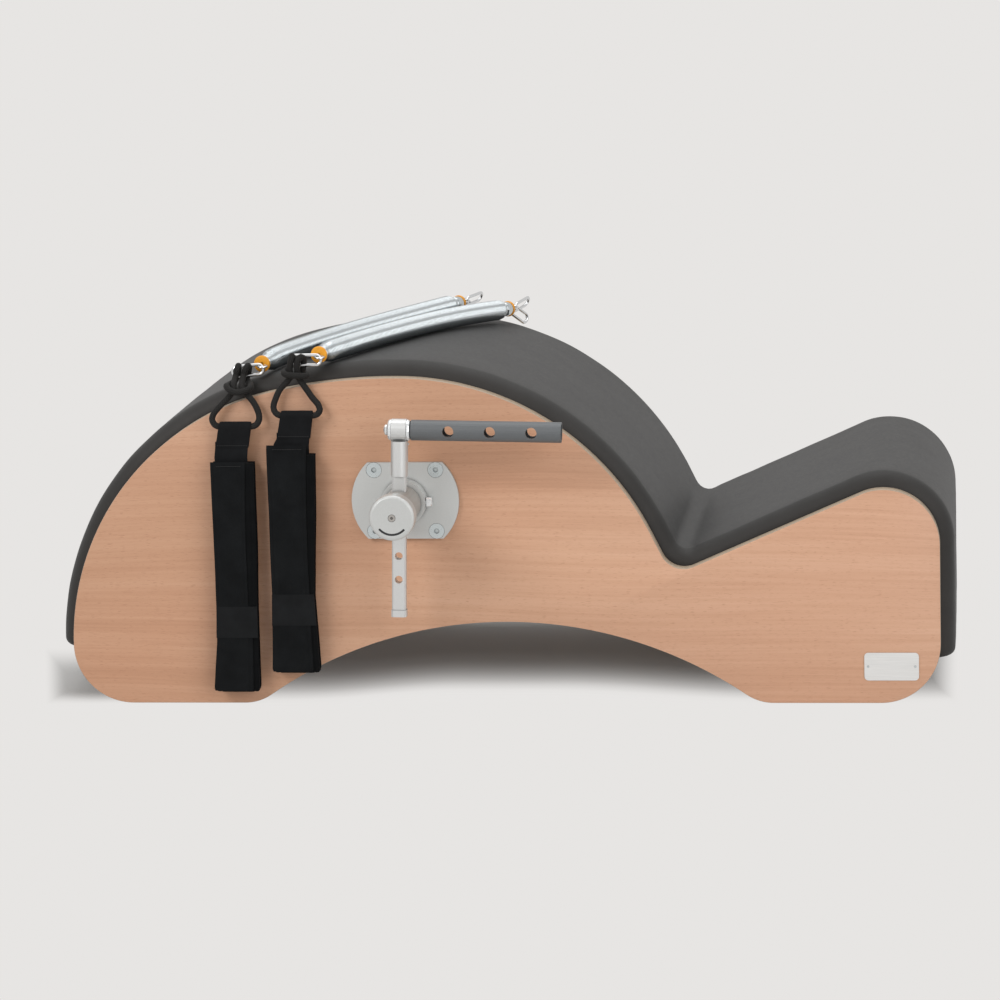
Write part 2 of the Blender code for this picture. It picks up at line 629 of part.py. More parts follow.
def handle(arm):
    spin = pivot("handle_axis", (0, ARM_Y, EYE_U), None, arm)
    bore = BOLT_RADIUS + CLEARANCE
    seat = EYE_WIDTH / 2 + CLEARANCE
    place("handle_washer_outer", dome(WASHER_RADIUS, WASHER_THICK, bore, -1), "bracket",
          (-seat, 0, 0), TO_X, spin, 30)
    place("handle_washer_inner", dome(WASHER_RADIUS, WASHER_THICK, bore, 1), "bracket",
          (seat, 0, 0), TO_X, spin, 30)
    tube_start = seat + WASHER_THICK + CLEARANCE
    head = -tube_start
    tip = tube_start + BOLT_END
    profile = [(0, head - BOLT_HEAD), (BOLT_HEAD_RADIUS * 0.6, head - BOLT_HEAD),
               (BOLT_HEAD_RADIUS, head - BOLT_HEAD * 0.6), (BOLT_HEAD_RADIUS, head),
               (BOLT_RADIUS, head), (BOLT_RADIUS, tip), (0, tip)]
    place("handle_bolt", lathe(profile, 16), "bracket", (0, 0, 0), TO_X, spin, 30)
    inner = TUBE_RADIUS - TUBE_WALL
    tube = place("handle_tube", ring(TUBE_RADIUS, inner, tube_start, tube_start + TUBE_LENGTH, 28),
                 "tube", (0, 0, 0), TO_X, spin)
    cuts = []
    for k in range(3):
        x = tube_start + TUBE_FIRST_HOLE + k * TUBE_HOLE_PITCH
        cuts.append(tool(rod(TUBE_HOLE_RADIUS, -0.02, 0.02, 16), (x, 0, 0), TO_Y, spin))
    combine(tube, cuts)
    soften(tube)
    fit = inner - CLEARANCE
    start = tube_start + CLEARANCE
    end = start + PLUG_LENGTH
    profile = [(bore, start), (fit, start), (fit, end), (0, end), (0, tip + CLEARANCE),
               (bore, tip + CLEARANCE)]
    place("handle_end_plug", plug_mesh(profile), "tube", (0, 0, 0), TO_X, spin, 30)
    stop = NECK_RADIUS + 0.001
    place("handle_stop_pin", rod(STOP_PIN_RADIUS, stop - STOP_PIN_LENGTH, stop, 8), "bracket",
          (0, ARM_Y, STOP_PIN_U), TO_X, arm, 30)


def plug_mesh(profile):
    """Plug with a blind bore: walks from the bore's floor out and back to the end face."""
    order = profile[4:] + profile[:4]
    return lathe(order, 20)


# Name plate

def rounded_outline(width, height, radius):
    points = []
    for cx, cz, start in ((1, 1, 0), (-1, 1, 90), (-1, -1, 180), (1, -1, 270)):
        for a in np.radians(np.linspace(start, start + 90, 5)):
            points.append((cx * (width / 2 - radius) + radius * math.cos(a),
                           cz * (height / 2 - radius) + radius * math.sin(a)))
    return points


def name_plate():
    outline = rounded_outline(NAME_WIDTH, NAME_HEIGHT, NAME_CORNER)
    mesh = prism(outline, -CLEARANCE - NAME_THICK, -CLEARANCE)
    plate = place("name_plate", mesh, "steel", (name_x(), FRONT_Y, NAME_Z))
    hole = NAME_PIN_RADIUS + CLEARANCE
    combine(plate, [tool(rod(hole, -0.01, 0.01, 8), (x, FRONT_Y, z), TO_Y)
                    for x, z in name_pin_places()])
    head = -CLEARANCE * 2 - NAME_THICK
    profile = [(0, head - 0.0004), (NAME_PIN_RADIUS * 1.2, head - 0.0004),
               (NAME_PIN_RADIUS * 1.2, head), (NAME_PIN_RADIUS, head),
               (NAME_PIN_RADIUS, NAME_PIN_LENGTH - CLEARANCE), (0, NAME_PIN_LENGTH - CLEARANCE)]
    for side, (x, z) in zip(("left", "right"), name_pin_places()):
        place(f"name_plate_pin_{side}", lathe(profile, 8), "steel", (x, FRONT_Y, z), TO_Y,
              smooth=30)


# Springs and their links

# Heights here and in STRAPS are over the pad's top where the left end cap is
SPRINGS = {
    "near": {
        "cap": (-0.1875, 0.0110, 0.0114),     # front face of the left end cap
        "out": (-0.06, -0.97, -0.24),         # way that end points
        "seat": (-0.1678, 0.062),             # x, y where it comes to rest
        "end": (-0.0366, 0.050),              # x of its end, y in from the rear panel
        "bow": 0.0,
        "link": ((-0.1862, 0.0018, 0.0082), (-0.2187, -0.0005, 0.0082)),
        "upper": (0.58, 0.77, 0.26), "lower": (0.47, 0.70, -0.50),
    },
    "far": {
        "cap": (-0.2503, 0.0295, 0.0131),
        "out": (-0.16, -0.93, -0.32),
        "seat": (-0.2340, 0.076), "end": (-0.0935, 0.059),
        "bow": 0.006,
        "link": ((-0.2496, 0.0200, 0.0084), (-0.2820, 0.0200, 0.0053)),
        "upper": (0.73, 0.64, 0.22), "lower": (0.47, 0.70, -0.50),
    },
}


def pad_height(offset):
    line, _ = edge_line(offset, PAD_LEFT_END, PAD_RIGHT_END, PAD_VALLEY_RADIUS)
    top = [(x, z) for x, z in line if z > 0.2 and x < 0.1]
    xs, zs = zip(*top)
    return lambda x: float(np.interp(x, xs, zs))


def perch(spec):
    return pad_height(PAD_PROUD + PAD_CROWN)(spec["cap"][0])


def spring_axis(spec):
    """Evenly stepped middle line of a coil, from its left neck to its right neck."""
    out = Vector(spec["out"]).normalized()
    cap = Vector(spec["cap"]) + Vector((0, 0, perch(spec)))
    start = cap - out * (END_CAP_THICK + FERRULE_LENGTH + 2 * CLEARANCE)
    height = pad_height(PAD_PROUD + PAD_CROWN + CLEARANCE + SPRING_RADIUS)
    (x0, y0), (x1, inset) = spec["seat"], spec["end"]
    y1 = WIDTH - inset
    resting = []
    for t in np.linspace(0, 1, 60):
        x = x0 + (x1 - x0) * t + spec["bow"] * math.sin(math.pi * t)
        resting.append(Vector((x, y0 + (y1 - y0) * t, height(x))))
    way = (resting[1] - resting[0]).normalized()
    knee = start - out * NECK_STRAIGHT
    span = (resting[0] - knee).length
    lead = []
    for t in np.linspace(0, 1, 24)[:-1]:
        a, b = 2 * t**3 - 3 * t**2 + 1, t**3 - 2 * t**2 + t
        c, d = 3 * t**2 - 2 * t**3, t**3 - t**2
        lead.append(knee * a - out * (span * b) + resting[0] * c + way * (span * d))
    return resample([start] + lead + resting, 400)


def resample(points, count):
    array = np.array([tuple(p) for p in points])
    steps = np.linalg.norm(np.diff(array, axis=0), axis=1)
    along = np.concatenate([[0], np.cumsum(steps)])
    wanted = np.linspace(0, along[-1], count)
    return np.stack([np.interp(wanted, along, array[:, k]) for k in range(3)], axis=1)


def coil_points(axis):
    """Helix round the axis, drawn in at both necks, its ends straight."""
    tangents = np.gradient(axis, axis=0)
    tangents /= np.linalg.norm(tangents, axis=1)[:, None]
    sides = np.cross(tangents, (0, 0, 1))
    sides /= np.linalg.norm(sides, axis=1)[:, None]
    ups = np.cross(sides, tangents)
    length = np.linalg.norm(np.diff(axis, axis=0), axis=1).sum()
    tail = 2 * SPRING_WIRE / length
    full, neck = SPRING_RADIUS - SPRING_WIRE, SPRING_NECK_RADIUS - SPRING_WIRE
    count = SPRING_CURLS * POINTS_PER_CURL
    points = []
    for k in range(count + 1):
        share = k / count
        turn = 2 * math.pi * SPRING_CURLS * share
        from_end = min(share, 1 - share) * SPRING_CURLS
        radius = neck + (full - neck) * min(1, from_end / NECK_CURLS)
        place_along = (tail + share * (1 - 2 * tail)) * (len(axis) - 1)
        base = [np.interp(place_along, range(len(axis)), column)
                for column in (*axis.T, *sides.T, *ups.T)]
        middle, side, up = np.array(base[:3]), np.array(base[3:6]), np.array(base[6:])
        points.append(middle + radius * (math.cos(turn) * side + math.sin(turn) * up))
    straight = 2 * SPRING_WIRE - COIL_SEAT_GAP
    first = points[0] - tangents[0] * straight
    last = points[-1] + tangents[-1] * straight
    return [first] + points + [last]


def least_gap(points, radius, skip):
    array = np.array(points)
    least = 1.0
    for k in range(len(array) - skip):
        distance = np.linalg.norm(array[k + skip:] - array[k], axis=1).min()
        least = min(least, distance)
    return least - 2 * radius


def tube(name, points, radius, look, resolution, origin, parent=None, cyclic=False):
    curve = bpy.data.curves.new(name, "CURVE")
    curve.dimensions = "3D"
    spline = curve.splines.new("POLY")
    spline.points.add(len(points) - 1)
    for target, p in zip(spline.points, points):
        target.co = (*(Vector(p) - Vector(origin)), 1)
    spline.use_cyclic_u = cyclic
    curve.bevel_depth = radius
    curve.bevel_resolution = resolution
    curve.use_fill_caps = not cyclic
    return place(name, curve, look, origin, None, parent)


def sweep(points, radius, sides=6, closed=False):
    """Round wire along a line that lies in a plane."""
    array = np.array([tuple(p) for p in points])
    if closed:
        ahead, behind = np.roll(array, -1, axis=0), np.roll(array, 1, axis=0)
    else:
        ahead = np.vstack([array[1:], 2 * array[-1] - array[-2]])
        behind = np.vstack([2 * array[0] - array[1], array[:-1]])
    tangents = ahead - behind
    tangents /= np.linalg.norm(tangents, axis=1)[:, None]
    middle = len(array) // 2
    flat = np.cross(array[middle] - array[0], array[middle // 2] - array[0])
    flat /= np.linalg.norm(flat)
    rings = []
    for p, t in zip(array, tangents):
        side = np.cross(flat, t)
        angles = 2 * np.pi * (np.arange(sides) + 0.5) / sides
        rings.append([p + radius * (math.cos(a) * flat + math.sin(a) * side) for a in angles])
    return loft(rings, closed)


def link_mesh(start, way, up):
    """Oval link whose end wire starts at start and runs towards way."""
    way = Vector(way).normalized()
    up = (Vector(up) - way * way.dot(Vector(up))).normalized()
    half = LINK_WIDTH / 2 - LINK_WIRE
    straight = LINK_LENGTH - LINK_WIDTH
    points = []
    for centre, first in ((half + straight, -90), (half, 90)):
        for a in np.radians(np.linspace(first, first + 180, 8)):
            along = centre + half * math.cos(a)
            points.append(Vector(start) + way * along + up * (half * math.sin(a)))
    return sweep(points, LINK_WIRE, 6, closed=True)


def eye_mesh(out, side):
    """Bent wire eye: a shank in the ferrule, then an open loop in the plane of out and side."""
    loop, wire = EYE_LOOP_RADIUS, EYE_WIRE
    gap = math.degrees(math.asin((2 * wire + 0.0008) / loop))
    base = out * (EYE_STANDOFF + wire)
    points = [out * -0.009, out * 0.0002]
    for a in np.radians(np.linspace(35, 360 - gap, 13)):
        points.append(base + side * (loop * math.sin(a)) + out * (loop - loop * math.cos(a)))
    return sweep(points, wire, 6)


def eye_middle(cap, out):
    return cap + out * (EYE_STANDOFF + EYE_WIRE + EYE_LOOP_RADIUS)


def towards(direction):
    return direction.to_track_quat("Z", "Y").to_matrix()


def spring(name):
    spec = SPRINGS[name]
    axis = spring_axis(spec) + np.array((0, FRONT_Y, 0))
    points = coil_points(axis)
    gap = least_gap(points, SPRING_WIRE, POINTS_PER_CURL // 2)
    print(f"{name} spring: least gap between curls {gap * 1000:.2f} mm")
    origin = Vector(axis[len(axis) // 2].tolist())
    body = pivot(f"{name}_spring", origin)
    bpy.context.view_layer.update()
    coil = tube(f"{name}_spring_coil", points, SPRING_WIRE, "chrome", 1, origin)
    coil.parent, coil.location = body, (0, 0, 0)
    left_out = Vector(spec["out"]).normalized()
    right_out = Vector((axis[-1] - axis[-8]).tolist()).normalized()
    left_cap = Vector(spec["cap"]) + Vector((0, FRONT_Y, perch(spec)))
    reach = CLEARANCE * 2 + FERRULE_LENGTH + END_CAP_THICK
    right_cap = Vector(axis[-1].tolist()) + right_out * reach
    for end, cap, out in (("left", left_cap, left_out), ("right", right_cap, right_out)):
        turn = towards(out)
        at = cap - origin
        back = -END_CAP_THICK - CLEARANCE
        mesh = ring(END_CAP_RADIUS, END_CAP_BORE, -END_CAP_THICK, 0, 16)
        place(f"{name}_spring_cap_{end}", mesh, "orange", at, turn, body, 30)
        mesh = ring(FERRULE_RADIUS, FERRULE_BORE, back - FERRULE_LENGTH, back, 16)
        place(f"{name}_spring_ferrule_{end}", mesh, "chrome", at, turn, body, 30)
        side = out.cross(Vector((0, 0, 1))).normalized()
        place(f"{name}_spring_eye_{end}", eye_mesh(out, side), "chrome", at, None, body, 60)
    middle = eye_middle(right_cap, right_out)
    side = right_out.cross(Vector((0, 0, 1))).normalized()
    for key, sign in (("upper", 1), ("lower", -1)):
        start = middle + side * (sign * LINK_SHIFT) + right_out * LINK_PULL
        mesh = link_mesh(start - origin, spec[key], (0, 0, 1))
        place(f"{name}_link_{key}", mesh, "chrome", (0, 0, 0), None, body, 60)


# Straps

STRAPS = {
    "near": {
        "x": -0.2090, "sleeve_x": -0.2140, "fold_z": -0.0451, "top": -0.0836,
        "steps": ((-0.0836, 0.0250), (-0.1516, 0.0245), (-0.2356, 0.0224), (-0.3016, 0.0250),
                  (-0.3176, 0.0256)),
        "rope": (
            (-0.2065, -0.0115, -0.0451), (-0.1905, -0.0115, -0.0451), (-0.1860, -0.0112, -0.0456),
            (-0.1845, -0.0100, -0.0426), (-0.1865, -0.0090, -0.0351), (-0.1922, -0.0080, -0.0286),
            (-0.1985, -0.0065, -0.0206), (-0.2050, -0.0055, -0.0128), (-0.2076, -0.0046, -0.0066),
            (-0.2067, -0.0052, -0.0011), (-0.2055, -0.0047, 0.0026), (-0.2053, -0.0032, 0.0064),
            (-0.2053, 0.0004, 0.0079), (-0.2053, 0.0040, 0.0064), (-0.2055, 0.0055, 0.0026),
            (-0.2050, 0.0060, -0.0026), (-0.2000, 0.0030, -0.0061), (-0.1975, -0.0030, -0.0069),
            (-0.2000, -0.0095, -0.0066), (-0.2060, -0.0118, -0.0058), (-0.2140, -0.0120, -0.0053),
            (-0.2215, -0.0110, -0.0046), (-0.2262, -0.0055, -0.0038), (-0.2250, 0.0020, -0.0033),
            (-0.2200, 0.0056, -0.0022), (-0.2121, 0.0050, 0.0026), (-0.2119, 0.0035, 0.0064),
            (-0.2119, -0.0001, 0.0079), (-0.2119, -0.0037, 0.0064), (-0.2121, -0.0052, 0.0026),
            (-0.2152, -0.0055, -0.0011), (-0.2165, -0.0047, -0.0066), (-0.2205, -0.0055, -0.0116),
            (-0.2258, -0.0068, -0.0206), (-0.2305, -0.0085, -0.0301), (-0.2322, -0.0100, -0.0386),
            (-0.2310, -0.0112, -0.0431), (-0.2275, -0.0115, -0.0451),
        ),
    },
    "far": {
        "x": -0.2735, "sleeve_x": -0.2755, "fold_z": -0.0445, "top": -0.0840,
        "steps": ((-0.0840, 0.0235), (-0.1600, 0.0225), (-0.2370, 0.0208), (-0.2720, 0.0212),
                  (-0.3260, 0.0245)),
        "rope": (
            (-0.2700, -0.0115, -0.0445), (-0.2550, -0.0115, -0.0445), (-0.2495, -0.0112, -0.0435),
            (-0.2475, -0.0100, -0.0355), (-0.2500, -0.0090, -0.0280), (-0.2550, -0.0080, -0.0205),
            (-0.2605, -0.0058, -0.0145), (-0.2655, -0.0035, -0.0097), (-0.2670, 0.0005, -0.0058),
            (-0.2663, 0.0080, -0.0020), (-0.2655, 0.0149, 0.0012), (-0.2653, 0.0164, 0.0051),
            (-0.2653, 0.0200, 0.0067), (-0.2655, 0.0236, 0.0051), (-0.2658, 0.0252, 0.0012),
            (-0.2648, 0.0236, -0.0028), (-0.2615, 0.0165, -0.0050), (-0.2575, 0.0070, -0.0060),
            (-0.2558, -0.0020, -0.0068), (-0.2582, -0.0095, -0.0085), (-0.2710, -0.0128, -0.0112),
            (-0.2785, -0.0124, -0.0094), (-0.2863, -0.0030, -0.0057), (-0.2840, 0.0070, -0.0064),
            (-0.2785, 0.0170, -0.0062), (-0.2755, 0.0240, -0.0034), (-0.2742, 0.0251, 0.0005),
            (-0.2739, 0.0236, 0.0043), (-0.2738, 0.0200, 0.0059), (-0.2739, 0.0164, 0.0043),
            (-0.2742, 0.0149, 0.0005), (-0.2753, 0.0080, -0.0022), (-0.2765, 0.0005, -0.0058),
            (-0.2772, -0.0036, -0.0107), (-0.2810, -0.0058, -0.0170), (-0.2880, -0.0080, -0.0245),
            (-0.2945, -0.0095, -0.0315), (-0.2968, -0.0105, -0.0385), (-0.2958, -0.0112, -0.0430),
            (-0.2920, -0.0115, -0.0445),
        ),
    },
}


def webbing_mesh(spec, base):
    """Strap folded round the rope, its doubled tail running down into the sleeve."""
    outer = ROPE_RADIUS + CLEARANCE + FOLD_WALL
    half = WEB_THICK / 2
    bottom = spec["top"] - WEB_TUCK
    outline = []
    for a in np.radians(np.linspace(240, -60, 17)):
        outline.append((outer * math.cos(a), spec["fold_z"] + outer * math.sin(a)))
    waist = spec["fold_z"] - outer * 1.5
    outline += [(half, waist), (half, bottom), (-half, bottom), (-half, waist)]
    x0, x1 = spec["x"] - WEB_WIDTH / 2, spec["x"] + WEB_WIDTH / 2
    rings = [[(x - base[0], STRAP_Y + FRONT_Y + y - base[1], z - base[2])
              for y, z in outline] for x in (x0, x1)]
    return loft(rings)


def sleeve_mesh(spec, base):
    """Fleece loop: one padded layer down the front, round the bottom and up the back."""
    steps = spec["steps"]
    half_gap, layer = SLEEVE_GAP / 2, SLEEVE_LAYER
    bend = half_gap + layer / 2
    heights = [z for z, _ in steps[:-1]]
    floor = steps[-1][0] + layer / 2 + bend
    line = [(-bend, z) for z in heights if z > floor]
    line += [(-bend * math.cos(a), floor - bend * math.sin(a))
             for a in np.linspace(0, math.pi, 7)]
    line += [(bend, z) for z in reversed(heights) if z > floor]
    zs, widths = zip(*reversed(steps))
    rings = []
    for k, (y, z) in enumerate(line):
        before, after = line[max(k - 1, 0)], line[min(k + 1, len(line) - 1)]
        tangent = Vector((after[0] - before[0], after[1] - before[1])).normalized()
        normal = Vector((-tangent.y, tangent.x))
        width = float(np.interp(z, zs, widths))
        face = width - SLEEVE_CHAMFER
        side = 0.5 - SLEEVE_CHAMFER / layer / 3
        section = [(-width, -side), (-face, -0.5), (face, -0.5), (width, -side),
                   (width, side), (face, 0.5), (-face, 0.5), (-width, side)]
        rings.append([(spec["sleeve_x"] + w - base[0],
                       STRAP_Y + FRONT_Y + y + normal.x * s * layer - base[1],
                       z + normal.y * s * layer - base[2]) for w, s in section])
    return loft(rings)


def strap(name):
    spec = STRAPS[name]
    lift = perch(SPRINGS[name])
    shift = Vector((0, FRONT_Y, lift))
    start, end = (Vector(p) + shift for p in SPRINGS[name]["link"])
    hinge = start
    base = hinge - Vector((0, 0, lift))
    body = pivot(f"{name}_strap", hinge)
    bpy.context.view_layer.update()
    way = end - start
    place(f"{name}_link_left", link_mesh((0, 0, 0), way, (0, 0, 1)), "chrome", (0, 0, 0), None,
          body, 60)
    route = [Vector(p) + shift for p in spec["rope"]]
    gap = rope_gap(route)
    print(f"{name} rope: least gap to itself {gap * 1000:.2f} mm")
    rope = tube(f"{name}_strap_rope", route, ROPE_RADIUS, "rope", 2, hinge, cyclic=True)
    rope.parent, rope.location = body, (0, 0, 0)
    webbing = place(f"{name}_strap_webbing", webbing_mesh(spec, base), "webbing", parent=body)
    pocket = rod(ROPE_RADIUS + CLEARANCE, -WEB_WIDTH, WEB_WIDTH, 12)
    middle = Vector((spec["x"], STRAP_Y + FRONT_Y, spec["fold_z"])) - base
    combine(webbing, [tool(pocket, middle, TO_X, body)])
    soften(webbing, 40)
    place(f"{name}_strap_sleeve", sleeve_mesh(spec, base), "fleece", (0, 0, 0), None, body, 50)


def rope_gap(route):
    """Least gap between stretches of the closed rope more than two diameters apart along it."""
    closed = np.array([tuple(p) for p in route + route[:1]])
    fine = resample(closed, 400)
    step = np.linalg.norm(fine[1] - fine[0])
    skip = int(4.5 * ROPE_RADIUS / step)
    least = 1.0
    for k in range(len(fine)):
        others = [j for j in range(len(fine)) if skip < abs(j - k) < len(fine) - skip]
        least = min(least, np.linalg.norm(fine[others] - fine[k], axis=1).min())
    return least - 2 * ROPE_RADIUS


def build():
    clear_scene()
    side_panels()
    rails()
    barrel_board()
    pad()
    mount_plate()
    plate_screws()
    pivot_collar()
    pivot_bush()
    swing_lock_pin()
    arm = pivot("arm_axis", (HUB_X, FRONT_Y, HUB_Z), Matrix.Rotation(LEAN, 4, "Y"))
    arm_hub(arm)
    hub_bolt_and_washer(arm)
    arm_bar(arm)
    bar_end_cap(arm)
    knob(arm)
    handle(arm)
    name_plate()
    for name in SPRINGS:
        spring(name)
        strap(name)


build()
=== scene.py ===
import math

import bpy
import numpy as np
from mathutils import Matrix, Vector, noise

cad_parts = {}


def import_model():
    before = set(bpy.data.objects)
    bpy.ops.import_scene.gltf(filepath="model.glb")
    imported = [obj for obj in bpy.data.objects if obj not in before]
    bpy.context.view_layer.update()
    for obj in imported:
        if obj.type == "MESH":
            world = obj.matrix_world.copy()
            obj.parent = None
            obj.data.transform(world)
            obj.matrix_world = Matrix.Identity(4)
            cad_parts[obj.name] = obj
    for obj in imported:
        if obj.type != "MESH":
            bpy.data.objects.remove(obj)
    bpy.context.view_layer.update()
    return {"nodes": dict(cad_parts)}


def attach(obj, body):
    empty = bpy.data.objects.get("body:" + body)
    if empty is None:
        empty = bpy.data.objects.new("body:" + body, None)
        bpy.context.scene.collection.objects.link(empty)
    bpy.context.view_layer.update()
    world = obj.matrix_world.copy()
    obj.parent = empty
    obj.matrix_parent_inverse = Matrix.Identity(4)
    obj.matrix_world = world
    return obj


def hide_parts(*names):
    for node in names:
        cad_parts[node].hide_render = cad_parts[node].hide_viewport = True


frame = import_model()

NODES = frame["nodes"]
UP = Vector((0, 0, 1))

# Sizes in metres, as in the part's source
FRONT_Y, WIDTH, PANEL_THICK, CLEARANCE = -0.168, 0.450, 0.018, 0.0003
REAR_Y = FRONT_Y + WIDTH - PANEL_THICK
EDGE_BREAK, PLY_PAIR, ARC_SAGITTA = 0.0008, 0.0027692, 0.00002
LEFT_X, FOOT_CORNER = -0.452, 0.062
BARREL = ((0.271, 13.5), (0.562, -1.0), (0.293, -63.5))   # radius, and heading at its end
BARREL_RUN, VALLEY_RADIUS, HEADREST_RISE = 0.027, 0.025, 23.5
HEADREST_RUN, HEADREST_RADIUS = 0.188, 0.058
ARCH_X, ARCH_TOP, ARCH_RADIUS, TOE_RADIUS = 0.0035, 0.0853, 0.4388, 0.050
PAD_PROUD, PAD_THICK, PAD_EDGE_RADIUS, PAD_CROWN = 0.0150, 0.025, 0.018, 0.0006
PAD_VALLEY_RADIUS, PAD_ENDS, PAD_END_ROUND = 0.015, (0.056, 0.044), 0.008
PAD_STATIONS, VALLEY_X, CREASE_REACH, CREASE_DEPTH = 330, 0.1955, 0.045, 0.00075
HUB = Vector((-0.0985, FRONT_Y, 0.2140))
LEAN = math.radians(1.3)
KNOB_FACE_Y, MARK_RADIUS, MARK_HALF, MARK_HALF_ANGLE = -0.282, 0.0170, 0.0011, 48.6
SPRING_RADIUS, NECK_RADIUS, WIRE_RADIUS = 0.0114, 0.0082, 0.00125
SPRING_TURNS, POINTS_PER_TURN, LATHE_SEGMENTS = 165, 14, 48
FERRULE_RADIUS, FERRULE_BORE, FERRULE_LENGTH = 0.0080, 0.0030, 0.010
CAP_RADIUS, CAP_BORE, CAP_THICK = 0.0087, 0.0020, 0.003
EYE_WIRE, EYE_LOOP_RADIUS, EYE_STANDOFF = 0.0013, 0.0055, 0.0015
SMALL_LOOP_RADIUS = 0.0042
LINK_LENGTH, LINK_WIDTH, LINK_WIRE = 0.0352, 0.0138, 0.00175
LINK_SHIFT, LINK_PULL = 0.0019, 0.0013
ROPE_RADIUS, STRAP_Y = 0.0033, -0.0115
STRANDS, STRAND_SLANT, RIDGE_SLANT = 8, 330, 1040
ROPE_SIDES, ROPE_SAG = 16, 0.0024
WEB_THICK, TAB_THICK, SLEEVE_LAYER = 0.0050, 0.0016, 0.0045
SLEEVE_GAP = WEB_THICK + 2 * CLEARANCE
FOOT_ROUND, GROOVE_DEPTH, STITCH_LENGTH = 0.007, 0.0007, 0.0021

# Camera

def camera():
    yaw, pitch, roll = -0.0895, -0.1190, -0.0182
    ahead = Vector((math.sin(yaw) * math.cos(pitch), math.cos(yaw) * math.cos(pitch),
                    math.sin(pitch)))
    right = Vector((math.cos(yaw), -math.sin(yaw), 0))
    up = right.cross(ahead)
    across = right * math.cos(roll) + up * math.sin(roll)
    upright = up * math.cos(roll) - right * math.sin(roll)
    data = bpy.data.cameras.new("camera")
    data.sensor_width, data.lens = 36, 158.01
    data.shift_x, data.shift_y = -0.08, -0.20
    data.clip_end = 60
    cam = bpy.context.scene.camera = show("camera", data)
    turn = Matrix((across, upright, -ahead)).transposed().to_4x4()
    cam.matrix_world = Matrix.Translation((0.4854, -4.6177, 0.9549)) @ turn


# Materials

class Graph:
    """A node tree with short ways to add to it."""

    def __init__(self, tree):
        self.tree = tree

    def node(self, kind, *inputs, **more):
        """A keyword that names an input feeds it; any other sets the node."""
        node = self.tree.nodes.new("ShaderNode" + kind)
        for key, value in more.items():
            if key in node.inputs:
                self.feed(node.inputs[key], value)
            else:
                setattr(node, key, value)
        for socket, value in zip(node.inputs, inputs):
            self.feed(socket, value)
        return node

    def feed(self, socket, value):
        if isinstance(value, bpy.types.NodeSocket):
            self.tree.links.new(value, socket)
        else:
            socket.default_value = value

    def maths(self, operation, a, b=0.0, c=0.0):
        return self.node("Math", a, b, c, operation=operation).outputs[0]

    def times(self, a, b):
        return self.maths("MULTIPLY", a, b)

    def plus(self, a, b):
        return self.maths("ADD", a, b)

    def minus(self, a, b):
        return self.maths("SUBTRACT", a, b)

    def most(self, first, *others):
        for other in others:
            first = self.maths("MAXIMUM", first, other)
        return first

    def weighed(self, a, share, b, other):
        """a and b, each times its share, added."""
        return self.maths("MULTIPLY_ADD", a, share, self.times(b, other))

    def spread(self, value, low, high, to=(0.0, 1.0), kind="LINEAR"):
        return self.node("MapRange", value, low, high, *to, interpolation_type=kind).outputs[0]

    def seen(self):
        """1 for rays that show what they meet, 0 for those that only carry light."""
        rays = self.node("LightPath").outputs
        return self.most(*(rays[f"Is {kind} Ray"] for kind in ("Camera", "Glossy", "Transmission")))


class Look(Graph):
    """A Principled material; its patterns are laid out in metres on the object."""

    def __init__(self, name, colour, roughness, metallic=0.0, **plain):
        self.material = bpy.data.materials.new(name)
        self.material.use_nodes = True
        super().__init__(self.material.node_tree)
        self.shader = self.tree.nodes["Principled BSDF"]
        plain.update(Base_Color=(*colour, 1), Roughness=roughness, Metallic=metallic)
        for key, value in plain.items():
            self.shader.inputs[key.replace("_", " ")].default_value = value
        self.coords = self.node("TexCoord").outputs
        self.at = list(self.node("SeparateXYZ", self.coords["Object"]).outputs)

    def noise(self, by, detail=2.0, rough=0.5, at=None):
        """Noise at the surface point, its axes times one factor or times three."""
        by = by if isinstance(by, tuple) else (by,) * 3
        point = self.node("CombineXYZ", *map(self.times, at or self.at, by)).outputs[0]
        node = self.node("TexNoise", Vector=point, Scale=1.0, Detail=detail, Roughness=rough)
        return node.outputs["Fac"]

    def ramp(self, value, *stops):
        """Each stop is a place and a colour or a grey."""
        node = self.node("ValToRGB", value)
        marks = node.color_ramp.elements
        marks[0].position, marks[1].position = stops[0][0], stops[-1][0]
        for at, _ in stops[1:-1]:
            marks.new(at)
        for mark, (_, colour) in zip(marks, stops):
            mark.color = (*colour, 1) if isinstance(colour, tuple) else (colour,) * 3 + (1,)
        return node.outputs["Color"]

    def mix(self, share, a, b, blend="MIX"):
        node = self.node("Mix", data_type="RGBA", blend_type=blend, Factor=share)
        for socket, value in zip(node.inputs[6:8], (a, b)):
            self.feed(socket, (*value, 1) if isinstance(value, tuple) else value)
        return node.outputs[2]

    def shaded(self, a, b):
        return self.mix(1.0, a, b, "MULTIPLY")

    def colour(self, value):
        self.feed(self.shader.inputs["Base Color"], value)

    def gloss(self, value, low, high):
        self.feed(self.shader.inputs["Roughness"], self.spread(value, 0.0, 1.0, (low, high)))

    def bump(self, height, distance, strength=1.0):
        """Laid over the bumps that are there already."""
        node = self.node("Bump", Distance=distance, Strength=strength, Height=height)
        for link in list(self.shader.inputs["Normal"].links):
            self.feed(node.inputs["Normal"], link.from_socket)
        self.feed(self.shader.inputs["Normal"], node.outputs[0])


def tinted(colour, by):
    return tuple(min(c * by, 1.0) for c in colour)


